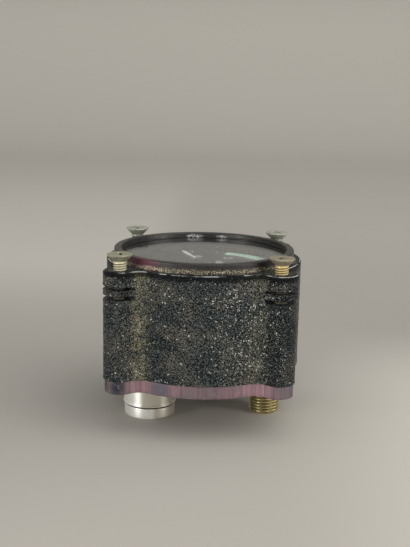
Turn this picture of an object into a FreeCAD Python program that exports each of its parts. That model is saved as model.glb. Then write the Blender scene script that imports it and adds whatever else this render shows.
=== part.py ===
import FreeCAD, Part
import math
import os
from FreeCAD import Vector

os.makedirs("parts", exist_ok=True)

# Pressure gauge for a panel, in millimetres. The panel's rear face is the plane z = 0, the origin is
# on the case's axis, the dial looks along +Z, and twelve o'clock on the dial is +X.

# Square of the four panel screws, the standard one for the smallest round instruments
lug_spacing = 47.625
screw_radius = 2.0
screw_head_radius = 3.8
head_gap = 1.426

# Bezel ring, glass and the rings under it, from the front down
bezel_height = 3.05
bezel_chamfer = 0.4
lip_width = 2.35
lip_height = 1.65
skirt_wall = 1.4
skirt_depth = 2.5
skirt_step = 0.3
thread_clearance = 0.05
glass_clearance = 0.05
glass_thickness = 2.0
glass_chamfer = 0.3
seat_ring_width = 1.3
glass_gasket_thickness = 0.8
seat_ring_height = 1.5

# Case casting with four lugs
shoulder_width = 2.35
case_wall = 2.8
case_depth = 33.4
ledge_thickness = 1.6
ledge_set_back = 0.1
shoulder_break = 0.6
rear_break = 0.4
lug_radius = 5.1
lug_fillet = 4.0
lug_bore_depth = 13.0
kerf_depths = (4.6, 7.3)
kerf_widths = (1.0, 1.35)
kerf_overrun = 1.4

# Panel screws, countersunk, standing partly out of the lugs
screw_fit = 0.05
screw_head_rim = 0.4
screw_stand_out_heights = (4.3, 4.75, 4.75, 4.75)
screw_length = 14.0
screw_point = 0.5
screw_recess_length = 4.4
screw_recess_width = 0.9
screw_recess_depth = 1.6

# Rear plate with its spigot and round seal
plate_inset = 0.5
plate_thickness = 4.0
plate_edge_break = 0.3
spigot_clearance = 0.1
spigot_height = 2.0
seal_groove_width = 1.3
seal_groove_depth = 1.1
seal_slack = 0.02
cover_screw_radius = 1.5
cover_screw_head_radius = 2.9
cover_screw_length = 10.0
cover_screw_sink = 0.15
cover_slot_width = 0.75
cover_slot_depth = 0.6
cover_bore_spare = 1.5

# Dial, posts and pointer
dial_gap = 0.1
dial_edge_clearance = 0.6
dial_thickness = 0.8
dial_hole_radius = 2.2
dial_post_radius = 1.5
dial_post_height = 1.8
dial_post_offset = 6.5
pointer_zero_angle = 112.0
pointer_tip_gap = 3.6
pointer_lift = 0.6
pointer_thickness = 0.3
pointer_blade_half_width = 0.35
pointer_root_half_width = 0.6
pointer_taper_length = 2.6
pointer_boss_radius = 2.8
pointer_tail_offset = 4.4
pointer_tail_radius = 1.8
hub_radius = 1.3
hub_flange_radius = 1.9
hub_flange_height = 0.5
stop_pin_radius = 0.4
stop_pin_orbit_radius = 8.5

# Movement: two plates on pillars, with a toothed sector that drives the pointer's pinion
movement_screw_radius = 0.8
movement_head_radius = 1.3
movement_head_height = 0.8
movement_slot_width = 0.45
pillar_screw_bite = 1.9
socket_screw_bite = 3.0
socket_hole_depth = 3.6
tapped_fit = 0.02
movement_plate_thickness = 1.2
movement_plate_margin = 3.0
pillar_height = 4.8
pillar_radius = 1.5
pillar_places = ((-8.0, 9.0), (-6.0, -7.0), (6.0, -7.0), (9.0, 4.0))
gear_module = 0.25
pinion_teeth = 12
sector_whole_teeth = 84
sector_cut_teeth = 11
pressure_angle = 20.0
tooth_addendum = 0.8
tooth_dedendum = 1.15
tooth_backlash = 0.07
sector_pivot_angle = 77.0
sector_thickness = 0.8
sector_rim_width = 1.5
sector_hub_radius = 2.2
sector_spoke_radius = 0.8
sector_drop = 1.7
tail_length = 4.5
tail_angle = 47.0
tail_radius = 1.1
pinion_height = 2.2
arbor_radius = 0.6
pivot_radius = 0.4
front_pivot_radius = 0.5
pivot_clearance = 0.03
end_shake = 0.2
bush_wall = 0.85
link_radius = 1.15
link_thickness = 0.5
link_gap = 0.3
link_pin_radius = 0.5
link_pin_clearance = 0.05
link_free_clearance = 0.25
link_head_radius = 0.9
link_head_height = 0.3
link_end_play = 0.1

# Hairspring with its collet and stud
spring_inner_radius = 1.35
spring_pitch = 0.72
spring_turns = 4
spring_strip = 0.12
spring_width = 0.6
spring_lift = 0.6
spring_end_angle = -30.0
collet_height = 1.0
stud_half_width = 0.6

# Bourdon tube, its tip and its socket block
tube_wall_gap = 5.8
tube_height = 7.0
tube_width = 2.4
tube_wall = 0.25
tube_nose_half_width = 0.4
tube_drop = 5.1
tube_start_angle = 1.0
tube_tip_angle = 92.0
tip_half_angle = 3.0
tip_cover = 0.9
tip_wall_angle = 1.0
tip_pocket_sweep = 9.0
socket_pocket_sweep = 18.0
braze_gap = 0.03
tip_post_radius = 1.1
socket_half_width = 4.6
socket_front_reach = 6.0
socket_rear_reach = 6.2
socket_round = 1.0
socket_screw_spread = 2.3
socket_screw_set_in = 0.4
socket_screw_edge = 2.2
pressure_hole_radius = 1.2

# Pressure port, a union screwed through the rear plate into the socket block
port_set_in = 0.4
port_y = 3.0
port_shank_radius = 4.0
port_shank_fit = 0.1
port_thread_in_socket = 6.0
port_radius = 5.0
port_reach = 14.6
port_chamfer = 0.9
port_relief_depth = 0.6
port_relief_width = 1.0
port_bore_radius = 2.0
port_seat_radius = 3.2
port_hexagon = 13.0
port_hexagon_height = 3.6
port_washer_thickness = 0.6
port_washer_radius = 7.2

# Electrical receptacle for the dial lamps, with its dust cap
receptacle_angle = 186.5
receptacle_wall_gap = 2.1
barrel_radius = 7.0
shell_flange_width = 1.3
shell_chamfer = 0.4
shell_height = 10.0
nose_step = 1.1
nose_length = 2.7
barrel_fit = 0.08
barrel_above_nut = 1.5
locknut_height = 2.5
locknut_width = 2.0
locknut_notch = 1.6
receptacle_gasket_thickness = 0.5
barrel_wall = 0.95
insulator_fit = 0.03
insulator_height = 12.0
insulator_set_in = 9.0
contact_radius = 0.8
contact_set_in = 3.45
contact_count = 4
contact_length = 4.5
contact_cup_height = 2.5
contact_cup_radius = 0.5
cap_set_in = 0.15
cap_gap = 0.4
cap_fit = 0.08
cap_floor = 1.0
cap_chamfer = 0.6
cap_seal_width = 1.0

# Dial lamps hung from ears on the movement's upper plate, and their wires
lamp_angles = (168.0, 322.0)
lamp_tube_gap = 5.5
lamp_ear_radius = 3.2
lamp_radius = 1.6
lamp_fit = 0.05
lamp_length = 6.2
lamp_sleeve_wall = 0.45
lamp_sleeve_length = 5.0
lamp_flange_width = 0.6
lamp_flange_thickness = 0.4
wire_radius = 0.45
wire_bend = 2.5
wire_straight = 0.4
wire_gap = 0.1
wire_drop = 3.0
wire_level_step = 3.0

# Places worked out from the driving dimensions
lug_distance = lug_spacing / math.sqrt(2)
bezel_radius = lug_distance - screw_head_radius - head_gap
case_radius = bezel_radius + shoulder_width
cavity_radius = case_radius - case_wall
lip_radius = bezel_radius - lip_width
counterbore_radius = bezel_radius - skirt_step
skirt_radius = counterbore_radius - thread_clearance
mouth_chamfer = skirt_step + thread_clearance
skirt_inner_radius = bezel_radius - skirt_wall
glass_radius = skirt_inner_radius - glass_clearance
seat_inner_radius = glass_radius - seat_ring_width
ledge_radius = seat_inner_radius - ledge_set_back
lip_underside = bezel_height - lip_height
glass_bottom = lip_underside - glass_thickness
gasket_bottom = glass_bottom - glass_gasket_thickness
ledge_top = gasket_bottom - seat_ring_height
ledge_bottom = ledge_top - ledge_thickness
dial_top = ledge_bottom - dial_gap
dial_bottom = dial_top - dial_thickness
upper_top = dial_bottom - dial_post_height
upper_bottom = upper_top - movement_plate_thickness
lower_top = upper_bottom - pillar_height
lower_bottom = lower_top - movement_plate_thickness
rear_face = -case_depth
plate_bottom = rear_face - plate_thickness
spigot_top = rear_face + spigot_height
foot_level = plate_bottom - port_reach
tube_radius = cavity_radius - tube_wall_gap - tube_width / 2
lamp_orbit_radius = tube_radius - tube_width / 2 - lamp_tube_gap
shell_radius = barrel_radius + shell_flange_width
nose_radius = shell_radius - nose_step
insulator_radius = barrel_radius - barrel_wall
locknut_radius = barrel_radius + locknut_width
cap_radius = shell_radius - cap_set_in
receptacle_distance = cavity_radius - locknut_radius - receptacle_wall_gap
contact_orbit_radius = insulator_radius - contact_set_in
pointer_length = ledge_radius - pointer_tip_gap
lug_angles = (45, 135, 225, 315)


def polar(radius, degrees, centre=(0.0, 0.0)):
    """Point at a radius and angle from a centre, as (x, y)."""
    angle = math.radians(degrees)
    return centre[0] + radius * math.cos(angle), centre[1] + radius * math.sin(angle)


def cylinder(radius, low, high, at=(0.0, 0.0)):
    return Part.makeCylinder(radius, high - low, Vector(at[0], at[1], low))


def cone(low_radius, high_radius, low, high, at=(0.0, 0.0)):
    return Part.makeCone(low_radius, high_radius, high - low, Vector(at[0], at[1], low))


def ring(outer_radius, inner_radius, low, high, at=(0.0, 0.0)):
    return cylinder(outer_radius, low, high, at).cut(cylinder(inner_radius, low, high, at))


def turned(profile, at=(0.0, 0.0)):
    """Solid of revolution of a closed (radius, z) outline about the upright axis through a point."""
    points = [Vector(at[0] + radius, at[1], level) for radius, level in profile]
    face = Part.Face(Part.makePolygon(points + points[:1]))
    return face.revolve(Vector(at[0], at[1], 0), Vector(0, 0, 1), 360)


def rounded_plate(places, margin, low, high):
    """Plate whose outline is the polygon through some places, grown by a margin with round corners."""
    points = [Vector(x, y, low) for x, y in places]
    face = Part.Face(Part.makePolygon(points + points[:1])).makeOffset2D(margin)
    return face.extrude(Vector(0, 0, high - low))


def strap(start, end, radius, low, high):
    """Bar with round ends whose end circles are centred on two points."""
    run = Vector(end[0] - start[0], end[1] - start[1], 0)
    side = Vector(-run.y, run.x, 0).normalize() * radius
    along = Vector(run).normalize() * radius
    first = Vector(start[0], start[1], low)
    last = Vector(end[0], end[1], low)
    edges = [
        Part.makeLine(first + side, last + side),
        Part.Arc(last + side, last + along, last - side).toShape(),
        Part.makeLine(last - side, first - side),
        Part.Arc(first - side, first - along, first + side).toShape(),
    ]
    return Part.Face(Part.Wire(edges)).extrude(Vector(0, 0, high - low))


def joined(first, *others):
    return first.fuse(list(others)).removeSplitter()


def save(node, solids):
    """Write one sub-part: a single solid, or a group of separate ones."""
    shape = solids[0] if len(solids) == 1 else Part.makeCompound(solids)
    shape.exportStep("parts/" + node + ".step")


def cheese_screw(at, seat, way, head_radius, head_height, shank_radius, shank_length):
    """Slotted cheese-head screw whose head bears on a seat level; way is +1 for a head above it."""
    head_end = seat + way * head_height
    tip = seat - way * shank_length
    head = cylinder(head_radius, min(seat, head_end), max(seat, head_end), at)
    shank = cylinder(shank_radius, min(seat, tip), max(seat, tip), at)
    slot_floor = seat + way * head_height / 2
    slot_low = min(slot_floor, head_end)
    slot = Part.makeBox(
        2 * head_radius,
        movement_slot_width,
        head_height / 2,
        Vector(at[0] - head_radius, at[1] - movement_slot_width / 2, slot_low),
    )
    return joined(head.cut(slot), shank)


# Case: a round body with a lug at each corner, one smooth outline from front to rear
def case_outline(inset, level):
    """Closed face of the case's outline, moved in by an inset: eight arcs joined by concave fillets."""
    body = case_radius - inset
    lug = lug_radius - inset
    fillet = lug_fillet + inset
    reach = body + fillet
    spread = (reach**2 + lug_distance**2 - (lug + fillet) ** 2) / (2 * reach * lug_distance)
    half = math.degrees(math.acos(spread))
    edges = []

    def place(xy):
        return Vector(xy[0], xy[1], level)

    def fillet_arc(body_end, lug_end, centre):
        inward = (body_end + lug_end) * 0.5 - centre
        middle = centre + Vector(inward).normalize() * fillet
        return Part.Arc(body_end, middle, lug_end).toShape()

    for corner in lug_angles:
        lug_centre = place(polar(lug_distance, corner))
        first_centre = place(polar(reach, corner - half))
        last_centre = place(polar(reach, corner + half))
        body_end = place(polar(body, corner - half))
        body_start = place(polar(body, corner + half))
        lug_start = lug_centre + Vector(first_centre - lug_centre).normalize() * lug
        lug_end = lug_centre + Vector(last_centre - lug_centre).normalize() * lug
        crown = place(polar(lug_distance + lug, corner))
        edges.append(fillet_arc(body_end, lug_start, first_centre))
        edges.append(Part.Arc(lug_start, crown, lug_end).toShape())
        edges.append(fillet_arc(body_start, lug_end, last_centre))
        next_end = place(polar(body, corner + 90 - half))
        side = place(polar(body, corner + 45))
        edges.append(Part.Arc(body_start, side, next_end).toShape())
    return Part.Face(Part.Wire(Part.__sortEdges__(edges)))


def outer_edges(solid, level):
    """Edges of a solid's outline that lie in one level, outside every bore."""
    return [
        edge
        for edge in solid.Edges
        if abs(edge.BoundBox.ZMin - level) < 1e-6 and abs(edge.BoundBox.ZMax - level) < 1e-6
    ]


case_body = case_outline(0, rear_face).extrude(Vector(0, 0, case_depth))
case_body = case_body.makeChamfer(shoulder_break, outer_edges(case_body, 0))
case_body = case_body.makeChamfer(rear_break, outer_edges(case_body, rear_face))
case_body = case_body.cut(cylinder(cavity_radius, rear_face, ledge_bottom))
case_body = case_body.cut(cylinder(ledge_radius, ledge_bottom, ledge_top))
case_body = case_body.cut(cylinder(counterbore_radius, ledge_top, 0))
mouth = cone(counterbore_radius, counterbore_radius + mouth_chamfer, -mouth_chamfer, 0)
case_body = case_body.cut(mouth)
cover_bore_top = plate_bottom + cover_screw_length + cover_bore_spare
cover_hole_radius = cover_screw_radius + screw_fit
lug_cuts = []
for corner in lug_angles:
    lug_place = polar(lug_distance, corner)
    lug_cuts.append(cylinder(screw_radius + screw_fit, -lug_bore_depth, 0, lug_place))
    lug_cuts.append(cylinder(cover_hole_radius, rear_face, cover_bore_top, lug_place))
    for depth, width in zip(kerf_depths, kerf_widths):
        # Saw cut across the lug, a little past the screw's axis, that lets the lug grip the thread
        kerf = Part.makeBox(
            2 * lug_radius,
            4 * lug_radius,
            width,
            Vector(lug_distance - kerf_overrun, -2 * lug_radius, -depth - width),
        )
        kerf.rotate(Vector(0, 0, 0), Vector(0, 0, 1), corner)
        lug_cuts.append(kerf)
case_body = case_body.cut(lug_cuts)
save("case", [case_body])


# Bezel ring screwed into the case, which clamps the glass on its gasket and seat ring
bezel_ring = turned(
    [
        (skirt_radius, -skirt_depth),
        (skirt_radius, 0),
        (bezel_radius, 0),
        (bezel_radius, bezel_height - bezel_chamfer),
        (bezel_radius - bezel_chamfer, bezel_height),
        (lip_radius + bezel_chamfer, bezel_height),
        (lip_radius, bezel_height - bezel_chamfer),
        (lip_radius, lip_underside),
        (skirt_inner_radius, lip_underside),
        (skirt_inner_radius, -skirt_depth),
    ]
)
save("bezel_ring", [bezel_ring])

glass = turned(
    [
        (0, glass_bottom),
        (glass_radius - glass_chamfer, glass_bottom),
        (glass_radius, glass_bottom + glass_chamfer),
        (glass_radius, lip_underside - glass_chamfer),
        (glass_radius - glass_chamfer, lip_underside),
        (0, lip_underside),
    ]
)
save("glass", [glass])
save("glass_gasket", [ring(glass_radius, seat_inner_radius, gasket_bottom, glass_bottom)])
save("glass_seat_ring", [ring(glass_radius, seat_inner_radius, ledge_top, gasket_bottom)])


# Panel screws: one countersunk screw in each lug, each turned and standing out by its own amount
def panel_screw(at, turn, head_top):
    cone_top = head_top - screw_head_rim
    cone_bottom = cone_top - (screw_head_radius - screw_radius)
    tip = head_top - screw_length
    body = turned(
        [
            (0, tip),
            (screw_radius - screw_point, tip),
            (screw_radius, tip + screw_point),
            (screw_radius, cone_bottom),
            (screw_head_radius, cone_top),
            (screw_head_radius, head_top),
            (0, head_top),
        ]
    )
    half = screw_recess_length / 2
    for quarter in (0, 90):
        # Each arm of the cross recess slopes in towards the screw's axis on its way down
        wing = Part.makePolygon(
            [
                Vector(-half, -screw_recess_width / 2, head_top),
                Vector(half, -screw_recess_width / 2, head_top),
                Vector(screw_recess_width, -screw_recess_width / 2, head_top - screw_recess_depth),
                Vector(-screw_recess_width, -screw_recess_width / 2, head_top - screw_recess_depth),
                Vector(-half, -screw_recess_width / 2, head_top),
            ]
        )
        arm = Part.Face(wing).extrude(Vector(0, screw_recess_width, 0))
        arm.rotate(Vector(0, 0, 0), Vector(0, 0, 1), quarter + turn)
        body = body.cut(arm)
    body.translate(Vector(at[0], at[1], 0))
    return body


screw_nodes = {
    "panel_screw_front_left": (225, 20),
    "panel_screw_front_right": (315, 65),
    "panel_screw_rear_right": (45, 40),
    "panel_screw_rear_left": (135, 5),
}
for node, (corner, turn) in screw_nodes.items():
    head_top = screw_stand_out_heights[lug_angles.index(corner)]
    save(node, [panel_screw(polar(lug_distance, corner), turn, head_top)])


# Rear plate, its seal and its four countersunk screws
port_at = (tube_radius - port_set_in, port_y)
receptacle_at = polar(receptacle_distance, receptacle_angle)
lamp_places = [polar(lamp_orbit_radius, angle) for angle in lamp_angles]
rear_plate = case_outline(plate_inset, plate_bottom).extrude(Vector(0, 0, plate_thickness))
rear_plate = rear_plate.makeChamfer(plate_edge_break, outer_edges(rear_plate, plate_bottom))
spigot_radius = cavity_radius - spigot_clearance
groove_low = rear_face + (spigot_height - seal_groove_width) / 2
groove_high = groove_low + seal_groove_width
groove_radius = spigot_radius - seal_groove_depth
spigot = cylinder(spigot_radius, rear_face, spigot_top)
spigot = spigot.cut(ring(spigot_radius, groove_radius, groove_low, groove_high))
rear_plate = joined(rear_plate, spigot)
port_hole_radius = port_shank_radius + port_shank_fit
rear_plate = rear_plate.cut(cylinder(port_hole_radius, plate_bottom, spigot_top, port_at))
rear_plate = rear_plate.cut(cylinder(barrel_radius + barrel_fit, plate_bottom, spigot_top, receptacle_at))
cover_screws = []
cover_head_low = plate_bottom + cover_screw_sink
cover_head_high = cover_head_low + cover_screw_head_radius - cover_screw_radius
cover_seat_radius = cover_screw_head_radius + screw_fit
for corner in lug_angles:
    lug_place = polar(lug_distance, corner)
    rear_plate = rear_plate.cut(cylinder(cover_hole_radius, plate_bottom, rear_face, lug_place))
    rear_plate = rear_plate.cut(cylinder(cover_seat_radius, plate_bottom, cover_head_low, lug_place))
    seat = cone(cover_seat_radius, cover_hole_radius, cover_head_low, cover_head_high, lug_place)
    rear_plate = rear_plate.cut(seat)
    head = cone(cover_screw_head_radius, cover_screw_radius, cover_head_low, cover_head_high, lug_place)
    shank = cylinder(cover_screw_radius, cover_head_high, plate_bottom + cover_screw_length, lug_place)
    slot = Part.makeBox(
        2 * cover_screw_head_radius,
        cover_slot_width,
        cover_slot_depth,
        Vector(
            lug_place[0] - cover_screw_head_radius,
            lug_place[1] - cover_slot_width / 2,
            cover_head_low,
        ),
    )
    cover_screws.append(joined(head, shank).cut(slot))
save("rear_plate", [rear_plate])
save("rear_plate_screws", cover_screws)
seal_inner = groove_radius + seal_slack
seal_outer = cavity_radius - seal_slack
seal_low = groove_low + seal_slack
seal_high = groove_high - seal_slack
seal_corner = seal_groove_width / 4
rear_plate_seal = turned(
    [
        (seal_inner + seal_corner, seal_low),
        (seal_outer - seal_corner, seal_low),
        (seal_outer, seal_low + seal_corner),
        (seal_outer, seal_high - seal_corner),
        (seal_outer - seal_corner, seal_high),
        (seal_inner + seal_corner, seal_high),
        (seal_inner, seal_high - seal_corner),
        (seal_inner, seal_low + seal_corner),
    ]
)
save("rear_plate_seal", [rear_plate_seal])


# Movement plates: the lower has an arm out to the socket block, the upper has ears for the lamps
pinion_radius = gear_module * pinion_teeth / 2
sector_radius = gear_module * sector_whole_teeth / 2
sector_at = polar(pinion_radius + sector_radius, sector_pivot_angle)
socket_screw_places = (
    (port_at[0] - socket_screw_spread, port_at[1] + socket_screw_set_in),
    (port_at[0] + socket_screw_spread, port_at[1] + socket_front_reach - socket_screw_edge),
)
bush_radius = pivot_radius + pivot_clearance + bush_wall
plate_corners = (pillar_places[0], pillar_places[1], pillar_places[2], pillar_places[3], sector_at)
lower_plate = joined(
    rounded_plate(plate_corners, movement_plate_margin, lower_bottom, lower_top),
    strap((0.0, 1.0), port_at, socket_half_width - socket_round, lower_bottom, lower_top),
    strap(
        socket_screw_places[0],
        socket_screw_places[1],
        movement_plate_margin,
        lower_bottom,
        lower_top,
    ),
)
upper_plate = rounded_plate(plate_corners, movement_plate_margin, upper_bottom, upper_top)
for lamp_place in lamp_places:
    inner_end = (lamp_place[0] / 2, lamp_place[1] / 2)
    ear = strap(inner_end, lamp_place, lamp_ear_radius, upper_bottom, upper_top)
    upper_plate = joined(upper_plate, ear)

dial_post_places = ((-dial_post_offset, 0.0), (dial_post_offset, 0.0))
screw_hole_radius = movement_screw_radius + tapped_fit
for pillar_place in pillar_places:
    lower_plate = lower_plate.cut(cylinder(screw_hole_radius, lower_bottom, lower_top, pillar_place))
    upper_plate = upper_plate.cut(cylinder(screw_hole_radius, upper_bottom, upper_top, pillar_place))
for post_place in dial_post_places:
    upper_plate = upper_plate.cut(cylinder(screw_hole_radius, upper_bottom, upper_top, post_place))
for screw_place in socket_screw_places:
    lower_plate = lower_plate.cut(cylinder(screw_hole_radius, lower_bottom, lower_top, screw_place))
lamp_sleeve_radius = lamp_radius + lamp_fit + lamp_sleeve_wall
for lamp_place in lamp_places:
    upper_plate = upper_plate.cut(cylinder(lamp_sleeve_radius, upper_bottom, upper_top, lamp_place))
for bush_place in ((0.0, 0.0), sector_at):
    lower_plate = lower_plate.cut(cylinder(bush_radius, lower_bottom, lower_top, bush_place))
    upper_plate = upper_plate.cut(cylinder(bush_radius, upper_bottom, upper_top, bush_place))
save("movement_lower_plate", [lower_plate])
save("movement_upper_plate", [upper_plate])

bushes = [
    ring(bush_radius, pivot_radius + pivot_clearance, lower_bottom, lower_top),
    ring(bush_radius, front_pivot_radius + pivot_clearance, upper_bottom, upper_top),
    ring(bush_radius, pivot_radius + pivot_clearance, lower_bottom, lower_top, sector_at),
    ring(bush_radius, pivot_radius + pivot_clearance, upper_bottom, upper_top, sector_at),
]
save("pivot_bushes", bushes)

pillars = []
pillar_screws = []
for pillar_place in pillar_places:
    pillars.append(ring(pillar_radius, screw_hole_radius, lower_top, upper_bottom, pillar_place))
    for seat, way in ((upper_top, 1), (lower_bottom, -1)):
        pillar_screws.append(
            cheese_screw(
                pillar_place,
                seat,
                way,
                movement_head_radius,
                movement_head_height,
                movement_screw_radius,
                movement_plate_thickness + pillar_screw_bite,
            )
        )
save("movement_pillars", pillars)
save("pillar_screws", pillar_screws)
socket_screws = [
    cheese_screw(
        screw_place,
        lower_top,
        1,
        movement_head_radius,
        movement_head_height,
        movement_screw_radius,
        movement_plate_thickness + socket_screw_bite,
    )
    for screw_place in socket_screw_places
]
save("movement_screws", socket_screws)


# Dial on two posts, each with a screw through it into the upper plate
dial = cylinder(cavity_radius - dial_edge_clearance, dial_bottom, dial_top)
dial = dial.cut(cylinder(dial_hole_radius, dial_bottom, dial_top))
dial_posts = []
dial_screws = []
for post_place in dial_post_places:
    dial = dial.cut(cylinder(screw_hole_radius, dial_bottom, dial_top, post_place))
    dial_posts.append(ring(dial_post_radius, screw_hole_radius, upper_top, dial_bottom, post_place))
    dial_screws.append(
        cheese_screw(
            post_place,
            dial_top,
            1,
            movement_head_radius,
            movement_head_height / 2,
            movement_screw_radius,
            dial_thickness + dial_post_height + movement_plate_thickness,
        )
    )
# The stop stands just behind the pointer's blade, so the pointer rests against it at zero
stop_offset = pointer_root_half_width + stop_pin_radius + pivot_clearance
stop_angle = pointer_zero_angle + math.degrees(stop_offset / stop_pin_orbit_radius)
stop_at = polar(stop_pin_orbit_radius, stop_angle)
dial = dial.cut(cylinder(stop_pin_radius, dial_bottom, dial_top, stop_at))
pointer_bottom = dial_top + pointer_lift
pointer_top = pointer_bottom + pointer_thickness
save("dial", [dial])
save("dial_posts", dial_posts)
save("dial_screws", dial_screws)
save("pointer_stop_pin", [cylinder(stop_pin_radius, dial_bottom, pointer_top, stop_at)])


# Pointer with a counterweight, riveted to a brass hub on the pinion's arbor
blade = Part.makePolygon(
    [
        Vector(0, -pointer_root_half_width, pointer_bottom),
        Vector(pointer_length - pointer_taper_length, -pointer_blade_half_width, pointer_bottom),
        Vector(pointer_length, 0, pointer_bottom),
        Vector(pointer_length - pointer_taper_length, pointer_blade_half_width, pointer_bottom),
        Vector(0, pointer_root_half_width, pointer_bottom),
        Vector(0, -pointer_root_half_width, pointer_bottom),
    ]
)
tail_at = (-pointer_tail_offset, 0.0)
pointer = joined(
    Part.Face(blade).extrude(Vector(0, 0, pointer_thickness)),
    cylinder(pointer_boss_radius, pointer_bottom, pointer_top),
    strap((0.0, 0.0), tail_at, pointer_blade_half_width, pointer_bottom, pointer_top),
    cylinder(pointer_tail_radius, pointer_bottom, pointer_top, tail_at),
)
pointer = pointer.cut(cylinder(hub_radius, pointer_bottom, pointer_top))
pointer.rotate(Vector(0, 0, 0), Vector(0, 0, 1), pointer_zero_angle)
save("pointer", [pointer])
hub_bottom = pointer_bottom - hub_flange_height
hub_top = pointer_top + hub_flange_height
hub_bore = front_pivot_radius + tapped_fit
pointer_hub = turned(
    [
        (hub_bore, hub_bottom),
        (hub_flange_radius, hub_bottom),
        (hub_flange_radius, pointer_bottom),
        (hub_radius, pointer_bottom),
        (hub_radius, hub_top),
        (hub_bore, hub_top),
    ]
)
save("pointer_hub", [pointer_hub])


# Gear teeth: involute flanks, thinned for backlash
def tooth_half_angle(teeth, radius):
    """Half the angle that a tooth covers at a radius; below the base circle the flank is radial."""
    pitch = gear_module * teeth / 2
    base = pitch * math.cos(math.radians(pressure_angle))

    def unwound(at_radius):
        ratio = max(at_radius / base, 1.0)
        return math.sqrt(ratio**2 - 1) - math.acos(1 / ratio)

    at_pitch = (math.pi * gear_module / 2 - tooth_backlash) / (2 * pitch)
    return math.degrees(at_pitch + unwound(pitch) - unwound(radius))


def tooth_points(teeth, centre_angle, level, at):
    """Points round one tooth, from its first root corner over the tip to its last root corner."""
    pitch = gear_module * teeth / 2
    root = pitch - tooth_dedendum * gear_module
    tip = pitch + tooth_addendum * gear_module
    radii = [root, (root + pitch) / 2, pitch, (pitch + tip) / 2, tip]
    rising = [(radius, centre_angle - tooth_half_angle(teeth, radius)) for radius in radii]
    falling = [(radius, centre_angle + tooth_half_angle(teeth, radius)) for radius in reversed(radii)]
    return [Vector(*polar(radius, angle, at), level) for radius, angle in rising + falling]


# Pinion on the pointer's arbor. A gap between its teeth faces the sector's pivot at rest
sector_top = upper_bottom - sector_drop
sector_bottom = sector_top - sector_thickness
pinion_middle = (sector_top + sector_bottom) / 2
pinion_bottom = pinion_middle - pinion_height / 2
pinion_top = pinion_middle + pinion_height / 2
pinion_points = []
for tooth in range(pinion_teeth):
    tooth_angle = sector_pivot_angle + (tooth + 0.5) * 360 / pinion_teeth
    pinion_points += tooth_points(pinion_teeth, tooth_angle, pinion_bottom, (0.0, 0.0))
pinion = Part.Face(Part.makePolygon(pinion_points + pinion_points[:1]))
pinion = pinion.extrude(Vector(0, 0, pinion_height))
pivot_bottom = lower_bottom + end_shake
arbor_low = lower_top + end_shake
arbor_high = upper_bottom - end_shake
arbor_tip = hub_top - end_shake
pinion_arbor = joined(
    pinion,
    cylinder(arbor_radius, arbor_low, arbor_high),
    cylinder(pivot_radius, pivot_bottom, arbor_low),
    cylinder(front_pivot_radius, arbor_high, arbor_tip),
)
save("pinion_arbor", [pinion_arbor])


# Toothed sector: a rim of teeth on two spokes, and a tail that the link pulls
tooth_step = 360 / sector_whole_teeth
mesh_angle = sector_pivot_angle + 180
last_tooth = 1
first_tooth = last_tooth - sector_cut_teeth + 1
rim_points = []
for tooth in range(first_tooth, last_tooth + 1):
    tooth_angle = mesh_angle + tooth * tooth_step
    rim_points += tooth_points(sector_whole_teeth, tooth_angle, sector_bottom, sector_at)
rim_root = sector_radius - tooth_dedendum * gear_module
rim_inner = rim_root - sector_rim_width
rim_start = mesh_angle + (first_tooth - 0.5) * tooth_step
rim_end = mesh_angle + (last_tooth + 0.5) * tooth_step


def sector_point(radius, angle):
    return Vector(*polar(radius, angle, sector_at), sector_bottom)


rim_outline = [sector_point(rim_inner, rim_start), sector_point(rim_root, rim_start)]
rim_outline += rim_points
rim_outline += [sector_point(rim_root, rim_end), sector_point(rim_inner, rim_end)]
rim_inside = Part.Arc(
    sector_point(rim_inner, rim_end),
    sector_point(rim_inner, (rim_start + rim_end) / 2),
    sector_point(rim_inner, rim_start),
).toShape()
rim_wire = Part.Wire(Part.makePolygon(rim_outline).Edges + [rim_inside])
rim = Part.Face(rim_wire).extrude(Vector(0, 0, sector_thickness))
spoke_reach = rim_inner + sector_spoke_radius / 2
spoke_turn = math.degrees(sector_spoke_radius / rim_inner)
tail_at = polar(tail_length, tail_angle, sector_at)
sector_gear = joined(
    rim,
    cylinder(sector_hub_radius, sector_bottom, sector_top, sector_at),
    strap(
        sector_at,
        polar(spoke_reach, rim_start + spoke_turn, sector_at),
        sector_spoke_radius,
        sector_bottom,
        sector_top,
    ),
    strap(
        sector_at,
        polar(spoke_reach, rim_end - spoke_turn, sector_at),
        sector_spoke_radius,
        sector_bottom,
        sector_top,
    ),
    strap(sector_at, tail_at, tail_radius, sector_bottom, sector_top),
)
sector_gear = sector_gear.cut(cylinder(arbor_radius, sector_bottom, sector_top, sector_at))
sector_gear = sector_gear.cut(cylinder(link_pin_radius, sector_bottom, sector_top, tail_at))
save("sector_gear", [sector_gear])
sector_arbor = joined(
    cylinder(arbor_radius, arbor_low, arbor_high, sector_at),
    cylinder(pivot_radius, pivot_bottom, arbor_low, sector_at),
    cylinder(pivot_radius, arbor_high, upper_top - end_shake, sector_at),
)
save("sector_arbor", [sector_arbor])


# Link from the sector's tail to the tube's tip, with its pin through the tail
link_top = sector_bottom - link_gap
link_bottom = link_top - link_thickness
tip_at = polar(tube_radius, tube_tip_angle)
link = strap(tail_at, tip_at, link_radius, link_bottom, link_top)
link = link.cut(cylinder(link_pin_radius + link_pin_clearance, link_bottom, link_top, tail_at))
link = link.cut(cylinder(link_pin_radius + link_free_clearance, link_bottom, link_top, tip_at))
save("link", [link])
pin_head_top = link_bottom - link_end_play
link_pin = joined(
    cylinder(link_head_radius, pin_head_top - link_head_height, pin_head_top, tail_at),
    cylinder(link_pin_radius, pin_head_top, sector_top, tail_at),
)
save("link_pin", [link_pin])


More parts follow.
